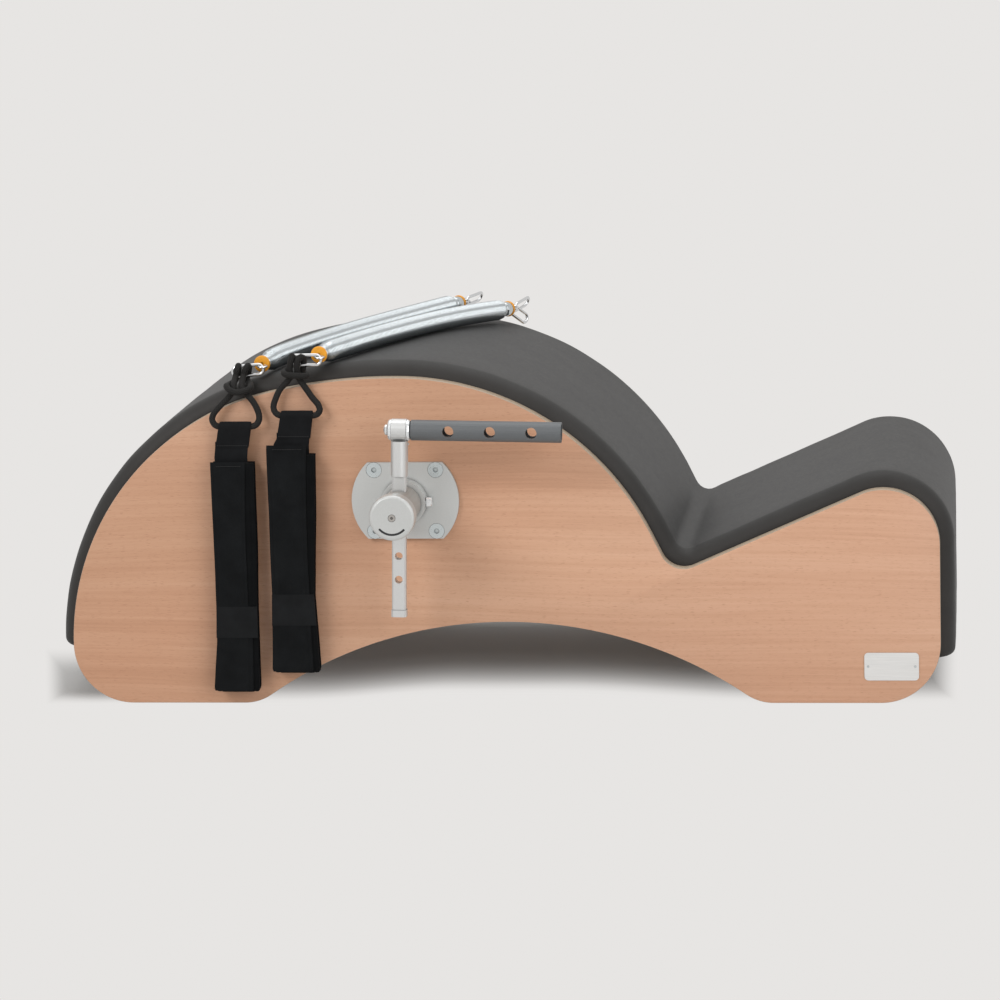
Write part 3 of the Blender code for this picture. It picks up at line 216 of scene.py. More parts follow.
def veneer_look():
    """Beech face with fine level grain; the panel's edge shows its plies."""
    look = Look("beech_veneer", (0.62, 0.37, 0.235), 0.42)
    x, y, z = look.at
    flow = x, y, look.maths("MULTIPLY_ADD", look.noise((1.7, 3.0, 4.0), 1.0), 0.05, z)
    bands = look.noise((0.8, 1.0, 26), 3.0, 0.55, flow)
    lines = look.noise((5, 1.0, 300), 4.0, 0.65, flow)
    flecks = look.noise((150, 1.0, 1500), 1.0, at=flow)
    face = look.ramp(look.weighed(bands, 0.62, lines, 0.38),
                     (0.34, (0.545, 0.305, 0.188)), (0.47, (0.618, 0.358, 0.228)),
                     (0.56, (0.660, 0.395, 0.258)), (0.70, (0.700, 0.440, 0.298)))
    dark = look.ramp(flecks, (0.62, 0.0), (0.70, 0.55))
    face = look.mix(dark, face, (0.47, 0.245, 0.145))
    # Painted shade: the sheet is made a little darker and redder towards the barrel's left shoulder
    # and its top, as shade that falls there
    lean = look.minus(look.plus(x, 0.82), look.times(z, 2.0))
    face = look.shaded(face, look.ramp(
        lean, (0.10, (0.845, 0.79, 0.745)), (0.33, (0.91, 0.845, 0.805)),
        (0.56, (0.98, 0.965, 0.955)), (0.85, (1.0, 0.98, 0.985))))
    # Plies across the panel's thickness, seen where the surface faces sideways
    depth = look.times(look.plus(y, -FRONT_Y), 1 / PLY_PAIR)
    layer = look.maths("PINGPONG", look.plus(depth, 0.25), 0.5)
    fibres = look.noise((260, 900, 260), 3.0)
    plies = look.ramp(layer, (0.20, (0.63, 0.50, 0.36)), (0.30, (0.37, 0.29, 0.215)))
    plies = look.mix(look.ramp(fibres, (0.35, 0.0), (0.75, 0.5)), plies, (0.30, 0.225, 0.16))
    normal = look.node("SeparateXYZ", look.coords["Normal"]).outputs[1]
    side = look.maths("LESS_THAN", look.maths("ABSOLUTE", normal), 0.72)
    look.colour(look.mix(side, face, plies))
    look.gloss(lines, 0.36, 0.50)
    look.bump(look.weighed(lines, 1.0, flecks, 0.6), 0.00006, 0.6)
    return look.material


def plywood_look():
    look = Look("bare_plywood", (0.58, 0.45, 0.31), 0.62)
    lines = look.noise((420, 7, 420), 4.0, 0.6)
    look.colour(look.ramp(lines, (0.3, (0.46, 0.34, 0.225)), (0.7, (0.66, 0.52, 0.37))))
    look.gloss(lines, 0.55, 0.72)
    look.bump(lines, 0.00008, 0.7)
    return look.material


def vinyl_look():
    look = Look("charcoal_vinyl", (0.056, 0.0555, 0.055), 0.55, Specular_IOR_Level=0.18)
    x, y, _ = look.at
    grain = look.node("TexVoronoi", Vector=look.coords["Object"], Scale=1150).outputs["Distance"]
    tone = look.ramp(look.noise(34, 3.0), (0.3, (0.052, 0.0515, 0.051)),
                     (0.7, (0.060, 0.0595, 0.059)))
    creases = look.ramp(grain, (0.0, 0.0), (0.35, 1.0))
    # Painted shade: the rolled edges beside the panels are darkened with a warm tint, and the
    # headrest's slope a little, as shade falls there
    off_centre = look.maths("ABSOLUTE", look.minus(y, FRONT_Y + WIDTH / 2))
    inside = look.minus(WIDTH / 2 - PANEL_THICK - CLEARANCE, off_centre)
    painted_edge_shade = look.ramp(look.times(inside, 10), (0.015, (0.66, 0.62, 0.59)),
                       (0.08, (0.78, 0.76, 0.74)), (0.19, (0.89, 0.89, 0.88)), (0.60, 1.0))
    painted_slope_shade = look.ramp(x, (0.12, 1.0), (0.24, 0.86), (0.36, 0.87), (0.44, 0.98))
    worn = look.mix(creases, (0.046, 0.0455, 0.045), tone)
    look.colour(look.shaded(look.shaded(worn, painted_slope_shade), painted_edge_shade))
    look.gloss(look.noise(260), 0.46, 0.60)
    look.bump(grain, 0.00010, 0.55)
    look.bump(look.noise(9), 0.0015, 0.25)
    return look.material


def metal_look(name, colour, roughness, metallic, speckle, painted_shade_reach=0.0, scratch=(900, 40, 900)):
    """The argument after speckle is how far into corners and sockets painted shade, from ambient
    occlusion, darkens the colour, in metres.
    """
    look = Look(name, colour, roughness, metallic)
    fine = look.noise(scratch, 3.0, 0.6)
    tone = look.ramp(fine, (0.3, tinted(colour, 1 - speckle)), (0.7, tinted(colour, 1 + speckle)))
    # Painted shade: ambient occlusion darkens the colour in corners and sockets
    if painted_shade_reach:
        shade = look.node("AmbientOcclusion", samples=8, Distance=painted_shade_reach).outputs["AO"]
        tone = look.shaded(tone, look.ramp(shade, (0.25, 0.30), (0.80, 1.0)))
    look.colour(tone)
    look.gloss(fine, roughness * 0.82, roughness * 1.25)
    look.bump(fine, 0.00002, 0.5)
    return look.material


def plastic_look():
    look = Look("orange_plastic", (0.83, 0.36, 0.035), 0.38)
    cloud = look.noise(420, 3.0)
    look.colour(look.ramp(cloud, (0.3, (0.79, 0.315, 0.014)), (0.7, (0.91, 0.405, 0.024))))
    look.gloss(cloud, 0.32, 0.48)
    look.bump(cloud, 0.00008, 0.6)
    return look.material


def rope_look():
    """Braided sheath: strands cross at a slant, by the cord's own length and girth."""
    look = Look("braided_cord", (0.018, 0.018, 0.018), 0.75, Sheen_Weight=0.03,
                Specular_IOR_Level=0.2)
    along, around, _ = look.node("SeparateXYZ", look.coords["UV"]).outputs
    weave = look.most(*(
        look.maths("PINGPONG", look.weighed(around, way * STRANDS, along, STRAND_SLANT), 0.5)
        for way in (1, -1)))
    look.colour(look.ramp(weave, (0.25, (0.005, 0.005, 0.005)), (0.5, (0.024, 0.022, 0.020))))
    look.bump(weave, 0.0003, 0.8)
    return look.material


def cloth_look(name, colour, pitch, sheen, rough=0.85):
    """Plain weave with its ribs at the given pitch, and a soft unevenness."""
    look = Look(name, colour, rough, Sheen_Weight=sheen, Specular_IOR_Level=0.12)
    x, _, z = look.at
    ribs = look.maths("PINGPONG", look.times(z, 1 / pitch), 0.5)
    cross = look.maths("PINGPONG", look.times(x, 0.8 / pitch), 0.5)
    weave = look.weighed(ribs, 1.0, cross, 0.7)
    shade = look.weighed(weave, 0.35, look.noise(60, 4.0, 0.6), 0.7)
    look.colour(look.ramp(shade, (0.30, tinted(colour, 0.62)), (0.72, tinted(colour, 1.35))))
    look.bump(weave, 0.00018, 0.6)
    return look.material


def fleece_look(name, share):
    look = Look(name, (0.008, 0.009, 0.010), 0.95, Sheen_Weight=0.03 * share,
                Sheen_Roughness=0.6, Specular_IOR_Level=0.08)
    pile = look.noise((1500, 1500, 900), 3.0, 0.7)
    shade = look.weighed(pile, 0.5, look.noise(55, 3.0), 0.5)
    cool = (share, share * 1.1, share * 1.2)
    look.colour(look.ramp(shade, (0.32, tinted(cool, 0.0045)), (0.68, tinted(cool, 0.0100))))
    look.bump(pile, 0.00035, 0.7)
    return look.material


def plain_look(name, colour, roughness):
    look = Look(name, colour, roughness)
    look.gloss(look.noise(900), roughness * 0.9, min(roughness * 1.1, 1.0))
    return look.material


# Meshes

def show(name, data):
    obj = bpy.data.objects.new(name, data)
    bpy.context.scene.collection.objects.link(obj)
    return obj


def make(name, shape, look):
    """shape is points and faces."""
    mesh = bpy.data.meshes.new(name)
    mesh.from_pydata([tuple(map(float, p)) for p in shape[0]], [], shape[1])
    mesh.update()
    mesh.materials.append(look)
    return show(name, mesh)


def add(name, shape, look, body, replaced=(), smooth=40, uvs=None):
    """Edges sharper than smooth, in degrees, stay sharp."""
    obj = make(name, shape, look)
    obj.data.shade_smooth()
    obj.data.set_sharp_from_angle(angle=math.radians(smooth))
    if uvs is not None:
        layer = obj.data.uv_layers.new(name="along")
        layer.data.foreach_set("uv", np.array(uvs, np.float32).ravel())
    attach(obj, body)
    if replaced:
        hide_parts(*replaced)
    return obj


def placer(name, kind, looks):
    """Adds the pieces of one spring or strap, whose names all begin alike."""
    def put(piece, shape, look, slot, nodes=(), smooth=40, uvs=None):
        return add(f"{name}_{piece}", shape, looks[look], f"{name}_{kind}",
                   [f"{name}_{node}" for node in nodes], smooth, uvs)
    return put


def loft(rings, closed=False):
    """Points and faces of a skin over rings of equal length, capped if it is open."""
    size = len(rings[0])
    points = [p for ring in rings for p in ring]
    faces = []
    for k in range(len(rings) if closed else len(rings) - 1):
        a, b = k * size, ((k + 1) % len(rings)) * size
        faces += [(a + j, a + (j + 1) % size, b + (j + 1) % size, b + j) for j in range(size)]
    if not closed:
        faces += [range(size)[::-1], range(len(points) - size, len(points))]
    return points, faces


def loft_uvs(lengths, size, faces):
    """For each corner: metres along, and the share of the way round."""
    uvs = []
    for face in faces:
        if len(face) != 4:
            uvs += [(0.0, 0.0)] * len(face)
            continue
        rows, cols = zip(*(divmod(v, size) for v in face))
        wraps = max(cols) - min(cols) > 1
        uvs += [(lengths[r], (c + size if wraps and c == 0 else c) / size)
                for r, c in zip(rows, cols)]
    return uvs


def unit(rows):
    return rows / np.linalg.norm(rows, axis=1)[:, None]


def frames(points, closed=False):
    """Tangent and two even cross directions along a line, without twist."""
    points = np.array(points)
    if closed:
        tangents = unit(np.roll(points, -1, axis=0) - np.roll(points, 1, axis=0))
    else:
        tangents = unit(np.gradient(points, axis=0))
    normal = np.cross(tangents[0], (0, 0, 1))
    if np.linalg.norm(normal) < 0.1:
        normal = np.cross(tangents[0], (0, 1, 0))
    sides = []
    for t in tangents:
        normal = normal - t * normal.dot(t)
        normal = normal / np.linalg.norm(normal)
        sides.append(normal)
    sides = np.array(sides)
    if closed:
        other = np.cross(tangents[0], sides[0])
        last = sides[-1] - tangents[0] * sides[-1].dot(tangents[0])
        twist = math.atan2(last.dot(other), last.dot(sides[0]))
        back = -twist * np.arange(len(sides))[:, None] / len(sides)
        sides = sides * np.cos(back) + np.cross(tangents, sides) * np.sin(back)
    return points, tangents, sides, np.cross(tangents, sides)


def tube(points, radius, sides=12, closed=False):
    """radius is one length, or one for each side at each point."""
    points, _, a_ways, b_ways = frames(points, closed)
    angles = 2 * np.pi * np.arange(sides) / sides
    radii = np.broadcast_to(radius, (len(points), sides))
    return loft([[p + (a * math.cos(t) + b * math.sin(t)) * r for t, r in zip(angles, row)]
                 for p, a, b, row in zip(points, a_ways, b_ways, radii)], closed)


def lathe(profile, at, direction):
    """Turned ring; profile is (radius, distance along direction)."""
    turn = Vector(direction).to_track_quat("Z", "Y").to_matrix()
    angles = 2 * np.pi * np.arange(LATHE_SEGMENTS) / LATHE_SEGMENTS
    return loft([[Vector(at) + turn @ Vector((r * math.cos(a), r * math.sin(a), h))
                  for r, h in profile] for a in angles], closed=True)


def run_along(points):
    """Length of the line up to each of its points."""
    steps = np.linalg.norm(np.diff(points, axis=0), axis=1)
    return np.concatenate([[0], np.cumsum(steps)])


def columns_at(wanted, along, rows):
    return np.stack([np.interp(wanted, along, column) for column in rows.T], axis=1)


def resample(points, count):
    points = np.array(points)
    along = run_along(points)
    return columns_at(np.linspace(0, along[-1], count), along, points)


def on_line(t, t0, p0, t1, p1):
    """The point at t, where the line is at p0 at t0 and at p1 at t1."""
    return p0 * (t1 - t) / (t1 - t0) + p1 * (t - t0) / (t1 - t0)


def smooth_line(points, per):
    """Centripetal Catmull-Rom line through the points."""
    p = [np.array(q, float) for q in points]
    p = [2 * p[0] - p[1]] + p + [2 * p[-1] - p[-2]]
    line = []
    for a, b, c, d in zip(p, p[1:], p[2:], p[3:]):
        t1 = np.linalg.norm(b - a) ** 0.5
        t2 = t1 + np.linalg.norm(c - b) ** 0.5
        t3 = t2 + np.linalg.norm(d - c) ** 0.5
        for t in np.linspace(t1, t2, per, endpoint=False):
            bc = on_line(t, t1, b, t2, c)
            abc = on_line(t, 0, on_line(t, 0, a, t1, b), t2, bc)
            bcd = on_line(t, t1, bc, t3, on_line(t, t2, c, t3, d))
            line.append(on_line(t, t1, abc, t2, bcd))
    line.append(p[-2])
    return np.array(line)


# Panel outline

class Pen:
    """Walks the outline in x and z; the material lies to the right of the walk."""

    def __init__(self, x, z, heading):
        self.x, self.z, self.heading = x, z, heading
        self.points, self.normals = [], []
        self.mark()

    def mark(self):
        a = math.radians(self.heading)
        self.points.append((self.x, self.z))
        self.normals.append((-math.sin(a), math.cos(a)))

    def run(self, length):
        a = math.radians(self.heading)
        self.x += length * math.cos(a)
        self.z += length * math.sin(a)
        self.mark()

    def turn(self, radius, to):
        first, reach = self.heading, math.copysign(radius, self.heading - to)
        start = math.radians(first)
        cx, cz = self.x + reach * math.sin(start), self.z - reach * math.cos(start)
        step = 2 * math.acos(1 - ARC_SAGITTA / radius)
        count = max(6, math.ceil(abs(math.radians(to - first)) / step))
        for k in range(1, count + 1):
            self.heading = first + (to - first) * k / count
            a = math.radians(self.heading)
            self.x, self.z = cx - reach * math.sin(a), cz + reach * math.cos(a)
            self.mark()


def draw_top(pen, offset=0.0, valley_floor=0.0):
    for radius, to in BARREL:
        pen.turn(radius + offset, to)
    corner = VALLEY_RADIUS - offset
    radius = max(corner, valley_floor)
    bend = math.radians(HEADREST_RISE - BARREL[-1][1])
    trim = (radius - corner) * math.tan(bend / 2)
    pen.run(BARREL_RUN - trim)
    pen.turn(radius, HEADREST_RISE)
    pen.run(HEADREST_RUN - trim)
    pen.turn(HEADREST_RADIUS + offset, -90)


def panel_outline():
    arch_z = ARCH_TOP - ARCH_RADIUS
    reach = math.sqrt((ARCH_RADIUS + TOE_RADIUS) ** 2 - (TOE_RADIUS - arch_z) ** 2)
    lift = math.degrees(math.atan2(reach, TOE_RADIUS - arch_z))
    pen = Pen(LEFT_X + FOOT_CORNER, 0, 180)
    pen.turn(FOOT_CORNER, 90)
    draw_top(pen)
    pen.run(pen.z - FOOT_CORNER)
    pen.turn(FOOT_CORNER, -180)
    pen.heading = 180
    pen.run(pen.x - (ARCH_X + reach))
    pen.turn(TOE_RADIUS, 180 - lift)
    pen.turn(ARCH_RADIUS, 180 + lift)
    pen.turn(TOE_RADIUS, 180)
    return pen.points, pen.normals


def pad_line(offset, shorter=0.0):
    """Line over the pad, offset from the panel's edge, with its two ends shorter."""
    left_z, right_z = (end + shorter for end in PAD_ENDS)
    pen = Pen(LEFT_X - offset, left_z, 90)
    pen.run(FOOT_CORNER - left_z)
    draw_top(pen, offset, PAD_VALLEY_RADIUS)
    pen.run(pen.z - right_z)
    return pen.points, pen.normals


def pad_height(offset):
    """Gives the height at x on the barrel, offset from the panel's edge."""
    xs, zs = zip(*(p for p in pad_line(offset)[0] if p[1] > 0.2 and p[0] < 0.1))
    return lambda x: float(np.interp(x, xs, zs))


# Body

def panels(look):
    """Each panel with its sharp edges broken."""
    outline = []
    for point, normal in zip(*panel_outline()):
        if not outline or math.dist(point, outline[-1][0]) > 1e-5:
            outline.append((point, normal))
    if math.dist(outline[-1][0], outline[0][0]) < 1e-5:
        outline.pop()
    for name, y0 in (("front", FRONT_Y), ("rear", REAR_Y)):
        y1 = y0 + PANEL_THICK
        steps = [(y0, EDGE_BREAK), (y0 + 0.00022, 0.0003), (y0 + EDGE_BREAK, 0)]
        steps += [(y0 + y1 - y, inset) for y, inset in reversed(steps)]
        shape = loft([[(x - nx * inset, y, z - nz * inset) for (x, z), (nx, nz) in outline]
                      for y, inset in steps])
        add(f"panel_{name}", shape, look, "body", [f"side_panel_{name}"], 32)


def ripple(x, y, z, scale, seed):
    return noise.noise(Vector((x * scale + seed, y * scale, z * scale)))


def bell(value, width):
    return math.exp(-(value / width) ** 2)


def clamped(value):
    return min(1.0, max(0.0, value))


def pad(look):
    """Foam under vinyl: crowned, rounded at its sides and ends, eased into the valley."""
    line = np.hstack(pad_line(PAD_PROUD, PAD_END_ROUND))
    along = run_along(line[:, :2])
    keep = np.concatenate([[True], np.diff(along) > 1e-7])
    wanted = np.linspace(0, along[-1], PAD_STATIONS)
    stations = columns_at(wanted, along[keep], line[keep])
    valley = wanted[np.argmin(np.abs(stations[:, 0] - VALLEY_X) + (stations[:, 1] > 0.26))]
    rounding = np.linspace(math.pi / 2, 0, 7)[:-1]
    rows = [(*stations[0], a, wanted[0]) for a in rounding]
    rows += [(*place, 0.0, at) for place, at in zip(stations, wanted)]
    rows += [(*stations[-1], a, wanted[-1]) for a in reversed(rounding)]
    y0, y1 = FRONT_Y + PANEL_THICK + CLEARANCE, REAR_Y - CLEARANCE
    flat = (y1 - y0) / 2 - PAD_EDGE_RADIUS
    rings = []
    for x, z, nx, nz, a, s in rows:
        drop = PAD_END_ROUND * math.sin(a) if z < 0.1 else 0
        thick = PAD_THICK - PAD_END_ROUND * (1 - math.cos(a))
        round_z = min(PAD_EDGE_RADIUS, thick * 0.85)
        section = [(y0 + 0.0010, 0.0), (y0 + 0.0002, thick - round_z)]
        section += [(y0 + PAD_EDGE_RADIUS * (1 - math.cos(b)), thick - round_z * (1 - math.sin(b)))
                    for b in np.linspace(0, math.pi / 2, 11)[1:]]
        middle = [((y0 + y1) / 2 + share * flat, thick + PAD_CROWN * (1 - share * share))
                  for share in np.linspace(-1, 1, 27)[1:-1]]
        section += middle + [(y0 + y1 - y, h) for y, h in reversed(section)]
        ring = []
        for y, h in section:
            swell = 0.00035 * ripple(x, y, z, 9, 3.0) + 0.00018 * ripple(x, y, z, 26, 8.0)
            from_side = min(y - y0, y1 - y)
            pull = (0.00028 * bell(from_side - 0.012, 0.020)
                    * ripple(x, 0, z, 34, 17.0 if y < 0.05 else 29.0))
            gone = (s - valley) / CREASE_REACH
            fold = bell(gone, 1) * bell(from_side, 0.085)
            crease = -CREASE_DEPTH * fold * max(0.0, math.cos(gone * 5.2 + from_side * 26))
            out = h + (swell + pull + crease) * max(0.0, h / thick - 0.5) * 2 - PAD_THICK
            ring.append((x + nx * out, y, z + nz * out - drop))
        rings.append(ring)
    piece = add("pad_cover", loft(rings), look, "body", ["pad"], 60)


# Springs with their ends and links; y is measured back from the front panel's face,
# heights are over the pad's top where the left end cap is

SPRINGS = {
    "near": {
        "cap": (-0.1875, 0.0110, 0.0126), "out": (-0.17, -0.98, 0.02),
        "seat": (-0.1678, 0.069), "end": (-0.0366, 0.050), "bow": 0.0,
        "link": ((-0.1842, 0.0040, 0.0082), (-0.2167, 0.0017, 0.0082)), "rise": 0.0026,
        "upper": (0.41, 0.88, 0.17),
    },
    "far": {
        "cap": (-0.2503, 0.0295, 0.0126), "out": (-0.19, -0.98, -0.02),
        "seat": (-0.2340, 0.088), "end": (-0.0908, 0.059), "bow": 0.006,
        "link": ((-0.2476, 0.0222, 0.0084), (-0.2800, 0.0202, 0.0056)), "rise": 0.0022,
        "upper": (0.48, 0.86, 0.11),
    },
}
NECK_STRAIGHT, LOWER_LINK, LINK_TILT = 0.002, (0.47, 0.70, -0.50), (0.28, -0.40, 0.87)
EYE_DROOP = Vector((0.25, -0.93, -0.20))   # the left eyes reach down to their links


def perch(spec):
    return pad_height(PAD_PROUD + PAD_CROWN)(spec["cap"][0])


def spring_axis(spec):
    """Middle line of a coil, from its left end cap to its right neck."""
    out = Vector(spec["out"]).normalized()
    cap = Vector(spec["cap"]) + Vector((0, 0, perch(spec)))
    start = cap - out * (CAP_THICK + FERRULE_LENGTH + 2 * CLEARANCE)
    height = pad_height(PAD_PROUD + PAD_CROWN + CLEARANCE + SPRING_RADIUS)
    (x0, y0), (x1, inset) = spec["seat"], spec["end"]
    y1 = WIDTH - inset
    resting = []
    for t in np.linspace(0, 1, 60):
        x = x0 + (x1 - x0) * t + spec["bow"] * math.sin(math.pi * t)
        resting.append(Vector((x, y0 + (y1 - y0) * t, height(x) + spec["rise"] * t ** 4)))
    way = (resting[1] - resting[0]).normalized()
    knee = start - out * NECK_STRAIGHT
    span = (resting[0] - knee).length
    lead = []
    for t in np.linspace(0, 1, 24)[:-1]:
        near = 2 * t**3 - 3 * t**2 + 1
        bend = way * (t**3 - t**2) - out * (t**3 - 2 * t**2 + t)
        lead.append(knee * near + resting[0] * (1 - near) + bend * span)
    return resample([start] + lead + resting, 400) + np.array((0, FRONT_Y, 0)), out


def coil(axis, left_out):
    """Close-wound fine wire, drawn in at both ends; it covers the left ferrule."""
    extra = np.array(left_out) * (FERRULE_LENGTH + CLEARANCE)
    axis = resample(np.vstack([axis[0] + extra, axis]), 900)
    _, _, sides, ups = frames(axis)
    length = run_along(axis)[-1]
    k = np.arange(SPRING_TURNS * POINTS_PER_TURN + 1)
    at = k / k[-1] * length
    swell = np.clip(np.minimum((at - 0.007) / 0.021, (length - at - 0.003) / 0.009), 0, 1)
    swell = swell * swell * (3 - 2 * swell)
    radius = NECK_RADIUS + (SPRING_RADIUS - NECK_RADIUS) * swell - WIRE_RADIUS
    inside = WIRE_RADIUS + k / k[-1] * (length - 2 * WIRE_RADIUS)
    where = inside / length * (len(axis) - 1)
    middle, a, b = (columns_at(where, np.arange(len(axis)), rows) for rows in (axis, sides, ups))
    turn = 2 * np.pi * k[:, None] / POINTS_PER_TURN
    return middle + radius[:, None] * (np.cos(turn) * a + np.sin(turn) * b)


def coil_rings(points, ways, sides=6):
    """Each ring stands square to the wire, its sides kept by the coil's own way."""
    tangents = unit(np.gradient(points, axis=0))
    around = unit(np.cross(tangents, ways))
    angles = 2 * np.pi * (np.arange(sides) + 0.5) / sides
    return [[p + WIRE_RADIUS * (math.cos(t) * a + math.sin(t) * b) for t in angles]
            for p, a, b in zip(points, around, np.cross(tangents, around))]


def rounded_ring(outer, bore, low, high, edge):
    corners = ((outer - edge, low + edge, -90), (outer - edge, high - edge, 0),
               (bore + edge, high - edge, 90), (bore + edge, low + edge, 180))
    return [(r + edge * math.cos(a), h + edge * math.sin(a)) for r, h, first in corners
            for a in np.radians(np.linspace(first, first + 90, 5))]


def eye_line(cap, out, way, loop):
    """The wire's end leaves the cap's bore and closes to a ring that lies along way."""
    side = way.cross(UP).normalized()
    gap = math.degrees(math.asin((2 * EYE_WIRE + 0.0008) / loop))
    base = cap + way * (EYE_STANDOFF + EYE_WIRE)
    points = [cap - out * 0.009, cap - out * 0.004, cap + out * 0.0002]
    points += [base + side * (loop * math.sin(a)) + way * (loop - loop * math.cos(a))
               for a in np.radians(np.linspace(35, 360 - gap, 22))]
    return smooth_line(points, 3)


def link_line(start, way, up=UP):
    """Middle line of an oval link that begins at start and lies along way."""
    way, up = Vector(way).normalized(), Vector(up)
    up = (up - way * way.dot(up)).normalized()
    half = LINK_WIDTH / 2 - LINK_WIRE
    straight = LINK_LENGTH - LINK_WIDTH
    between = np.linspace(0, 1, 6)[1:-1]
    bends = [[(centre + half * math.cos(a), half * math.sin(a))
              for a in np.radians(np.linspace(first, first + 180, 19))]
             for centre, first in ((half + straight, -90), (half, 90))]
    flat = bends[0] + [(half + straight * (1 - share), half) for share in between]
    flat += bends[1] + [(half + straight * share, -half) for share in between]
    return [Vector(start) + way * along + up * across for along, across in flat]


def spring(name, looks):
    spec, put = SPRINGS[name], placer(name, "spring", looks)
    axis, left_out = spring_axis(spec)
    wire = coil(axis, left_out)
    ways = unit(np.gradient(resample(axis, len(wire)), axis=0))
    put("coil", loft(coil_rings(wire, ways)), "spring", "spring_chrome",
        ("spring_coil", "spring_ferrule_left"), 80)
    right_out = Vector(axis[-1] - axis[-8]).normalized()
    left_cap = Vector(spec["cap"]) + Vector((0, FRONT_Y, perch(spec)))
    reach = CLEARANCE * 2 + FERRULE_LENGTH + CAP_THICK
    right_cap = Vector(axis[-1]) + right_out * reach
    profile = rounded_ring(CAP_RADIUS, CAP_BORE - 0.0004, -CAP_THICK, 0, 0.0007)
    for end, cap, out, way, loop in (
            ("left", left_cap, left_out, EYE_DROOP.normalized(), SMALL_LOOP_RADIUS),
            ("right", right_cap, right_out, right_out, EYE_LOOP_RADIUS)):
        put(f"end_{end}", lathe(profile, cap, out), "orange", "orange_plastic",
            [f"spring_cap_{end}"], 50)
        put(f"wire_eye_{end}", tube(eye_line(cap, out, way, loop), EYE_WIRE, 10), "chrome",
            "spring_chrome", [f"spring_eye_{end}"], 60)
    back = -CAP_THICK - CLEARANCE
    profile = rounded_ring(FERRULE_RADIUS, FERRULE_BORE, back - FERRULE_LENGTH, back, 0.0005)
    put("ferrule", lathe(profile, right_cap, right_out), "spring", "spring_chrome",
        ["spring_ferrule_right"], 50)
    middle = right_cap + right_out * (EYE_STANDOFF + EYE_WIRE + EYE_LOOP_RADIUS)
    side = right_out.cross(UP).normalized()
    for key, way, sign, up in (("upper", spec["upper"], 1, LINK_TILT),
                               ("lower", LOWER_LINK, -1, UP)):
        start = middle + side * (sign * LINK_SHIFT) + right_out * LINK_PULL
        link = tube(link_line(start, way, up), LINK_WIRE, closed=True)
        put(f"chain_{key}", link, "chrome", "spring_chrome", [f"link_{key}"], 60)


# Straps, measured like the springs; steps are the sleeve's heights with its left and right
# sides from sleeve_x, in tenths of a millimetre

STRAPS = {
    "near": {
        "x": -0.2090, "sleeve_x": -0.2140, "fold_z": -0.0475, "top": -0.0836, "wrap": -0.0035,
        "steps": ((-836, -260, 234), (-1516, -250, 224), (-2356, -238, 196), (-3016, -250, 232),
                  (-3176, -256, 243)),
        "band": (-0.2336, -0.2666), "flap": 0.0150, "rise": 0.0060, "drop": 0.0043,
        "stitch": -0.0713, "tab": (0.0162, 0.0174, -0.0022), "tail": -0.0035,
    },
    "far": {
        "x": -0.2735, "sleeve_x": -0.2755, "fold_z": -0.0469, "top": -0.0840, "wrap": -0.0028,
        "steps": ((-840, -235, 212), (-1600, -220, 220), (-2370, -208, 212), (-2720, -214, 214),
                  (-3260, -258, 217)),
        "band": (-0.2347, -0.2684), "flap": 0.0125, "rise": 0.0008, "drop": 0.0003,
        "stitch": -0.0688, "tab": (0.0163, 0.0173, -0.0022), "tail": -0.0010,
    },
}

# Route of each rope's middle line from the strap's x, in tenths of a millimetre too
ROPES = {"near": (
    (25, -115, -451), (175, -115, -451), (220, -113, -438), (245, -106, -398), (230, -94, -346),
    (168, -80, -282), (105, -65, -206), (60, -55, -128), (48, -48, -66), (45, -52, -11),
    (46, -56, 45), (62, -50, 98), (84, -22, 122), (100, 30, 96), (98, 64, 35), (90, 66, -22),
    (105, 34, -58), (143, -30, -69), (128, -95, -68), (65, -122, -62), (-5, -124, -56),
    (-65, -108, -48), (-92, -55, -38), (-86, 20, -28), (-54, 62, -8), (-22, 62, 50), (-12, 22, 108),
    (-6, -30, 132), (-12, -56, 98), (-24, -57, 45), (-29, -55, -11), (-22, -48, -66),
    (-75, -55, -122), (-168, -68, -206), (-218, -85, -298), (-236, -100, -364), (-218, -110, -416),
    (-176, -115, -446),
), "far": (
    (35, -115, -445), (179, -115, -445), (227, -113, -426), (257, -104, -372), (245, -92, -300),
    (187, -80, -206), (130, -58, -145), (99, -35, -97), (92, 5, -58), (91, 80, -10), (95, 136, 35),
    (113, 140, 92), (133, 172, 124), (139, 224, 100), (123, 262, 40), (107, 250, -20),
    (145, 165, -50), (175, 70, -60), (189, -20, -68), (167, -95, -88), (67, -130, -114),
    (-10, -120, -98), (-59, -40, -62), (-55, 70, -60), (-27, 170, -50), (-3, 246, -20),
    (13, 264, 40), (29, 224, 102), (35, 170, 124), (27, 138, 86), (13, 134, 30), (8, 80, -15),
    (8, 5, -58), (-3, -36, -107), (-63, -58, -170), (-145, -80, -245), (-215, -95, -315),
    (-235, -103, -368), (-215, -111, -417), (-175, -115, -442),
)}

# Each layer's look, thickness, points across, softness, seeds for the near and the far one,
# grooves, share of the thickness that its edges keep, and angle that is smoothed
LAYERS = {
    "webbing": ("webbing", TAB_THICK, 28, 0.00012, (4, 4), (), 0.7, 50),
    "webbing_tail": ("webbing", 0.0017, 28, 0.0003, (11, 11), (), 0.7, 50),
    "sleeve": ("lining", SLEEVE_LAYER, 36, 0.0006, (20, 31), (-0.82, 0.82), 0.6, 70),
    "sleeve_cover": ("fleece", 0.0024, 32, 0.0005, (43, 52), (-0.80, 0.86), 0.55, 70),
    "sleeve_band": ("band", 0.0022, 32, 0.0003, (61, 61), (), 0.8, 60),
    "sleeve_foot": ("fleece", 0.0020, 28, 0.0005, (73, 73), (0.84,), 0.5, 70),
}


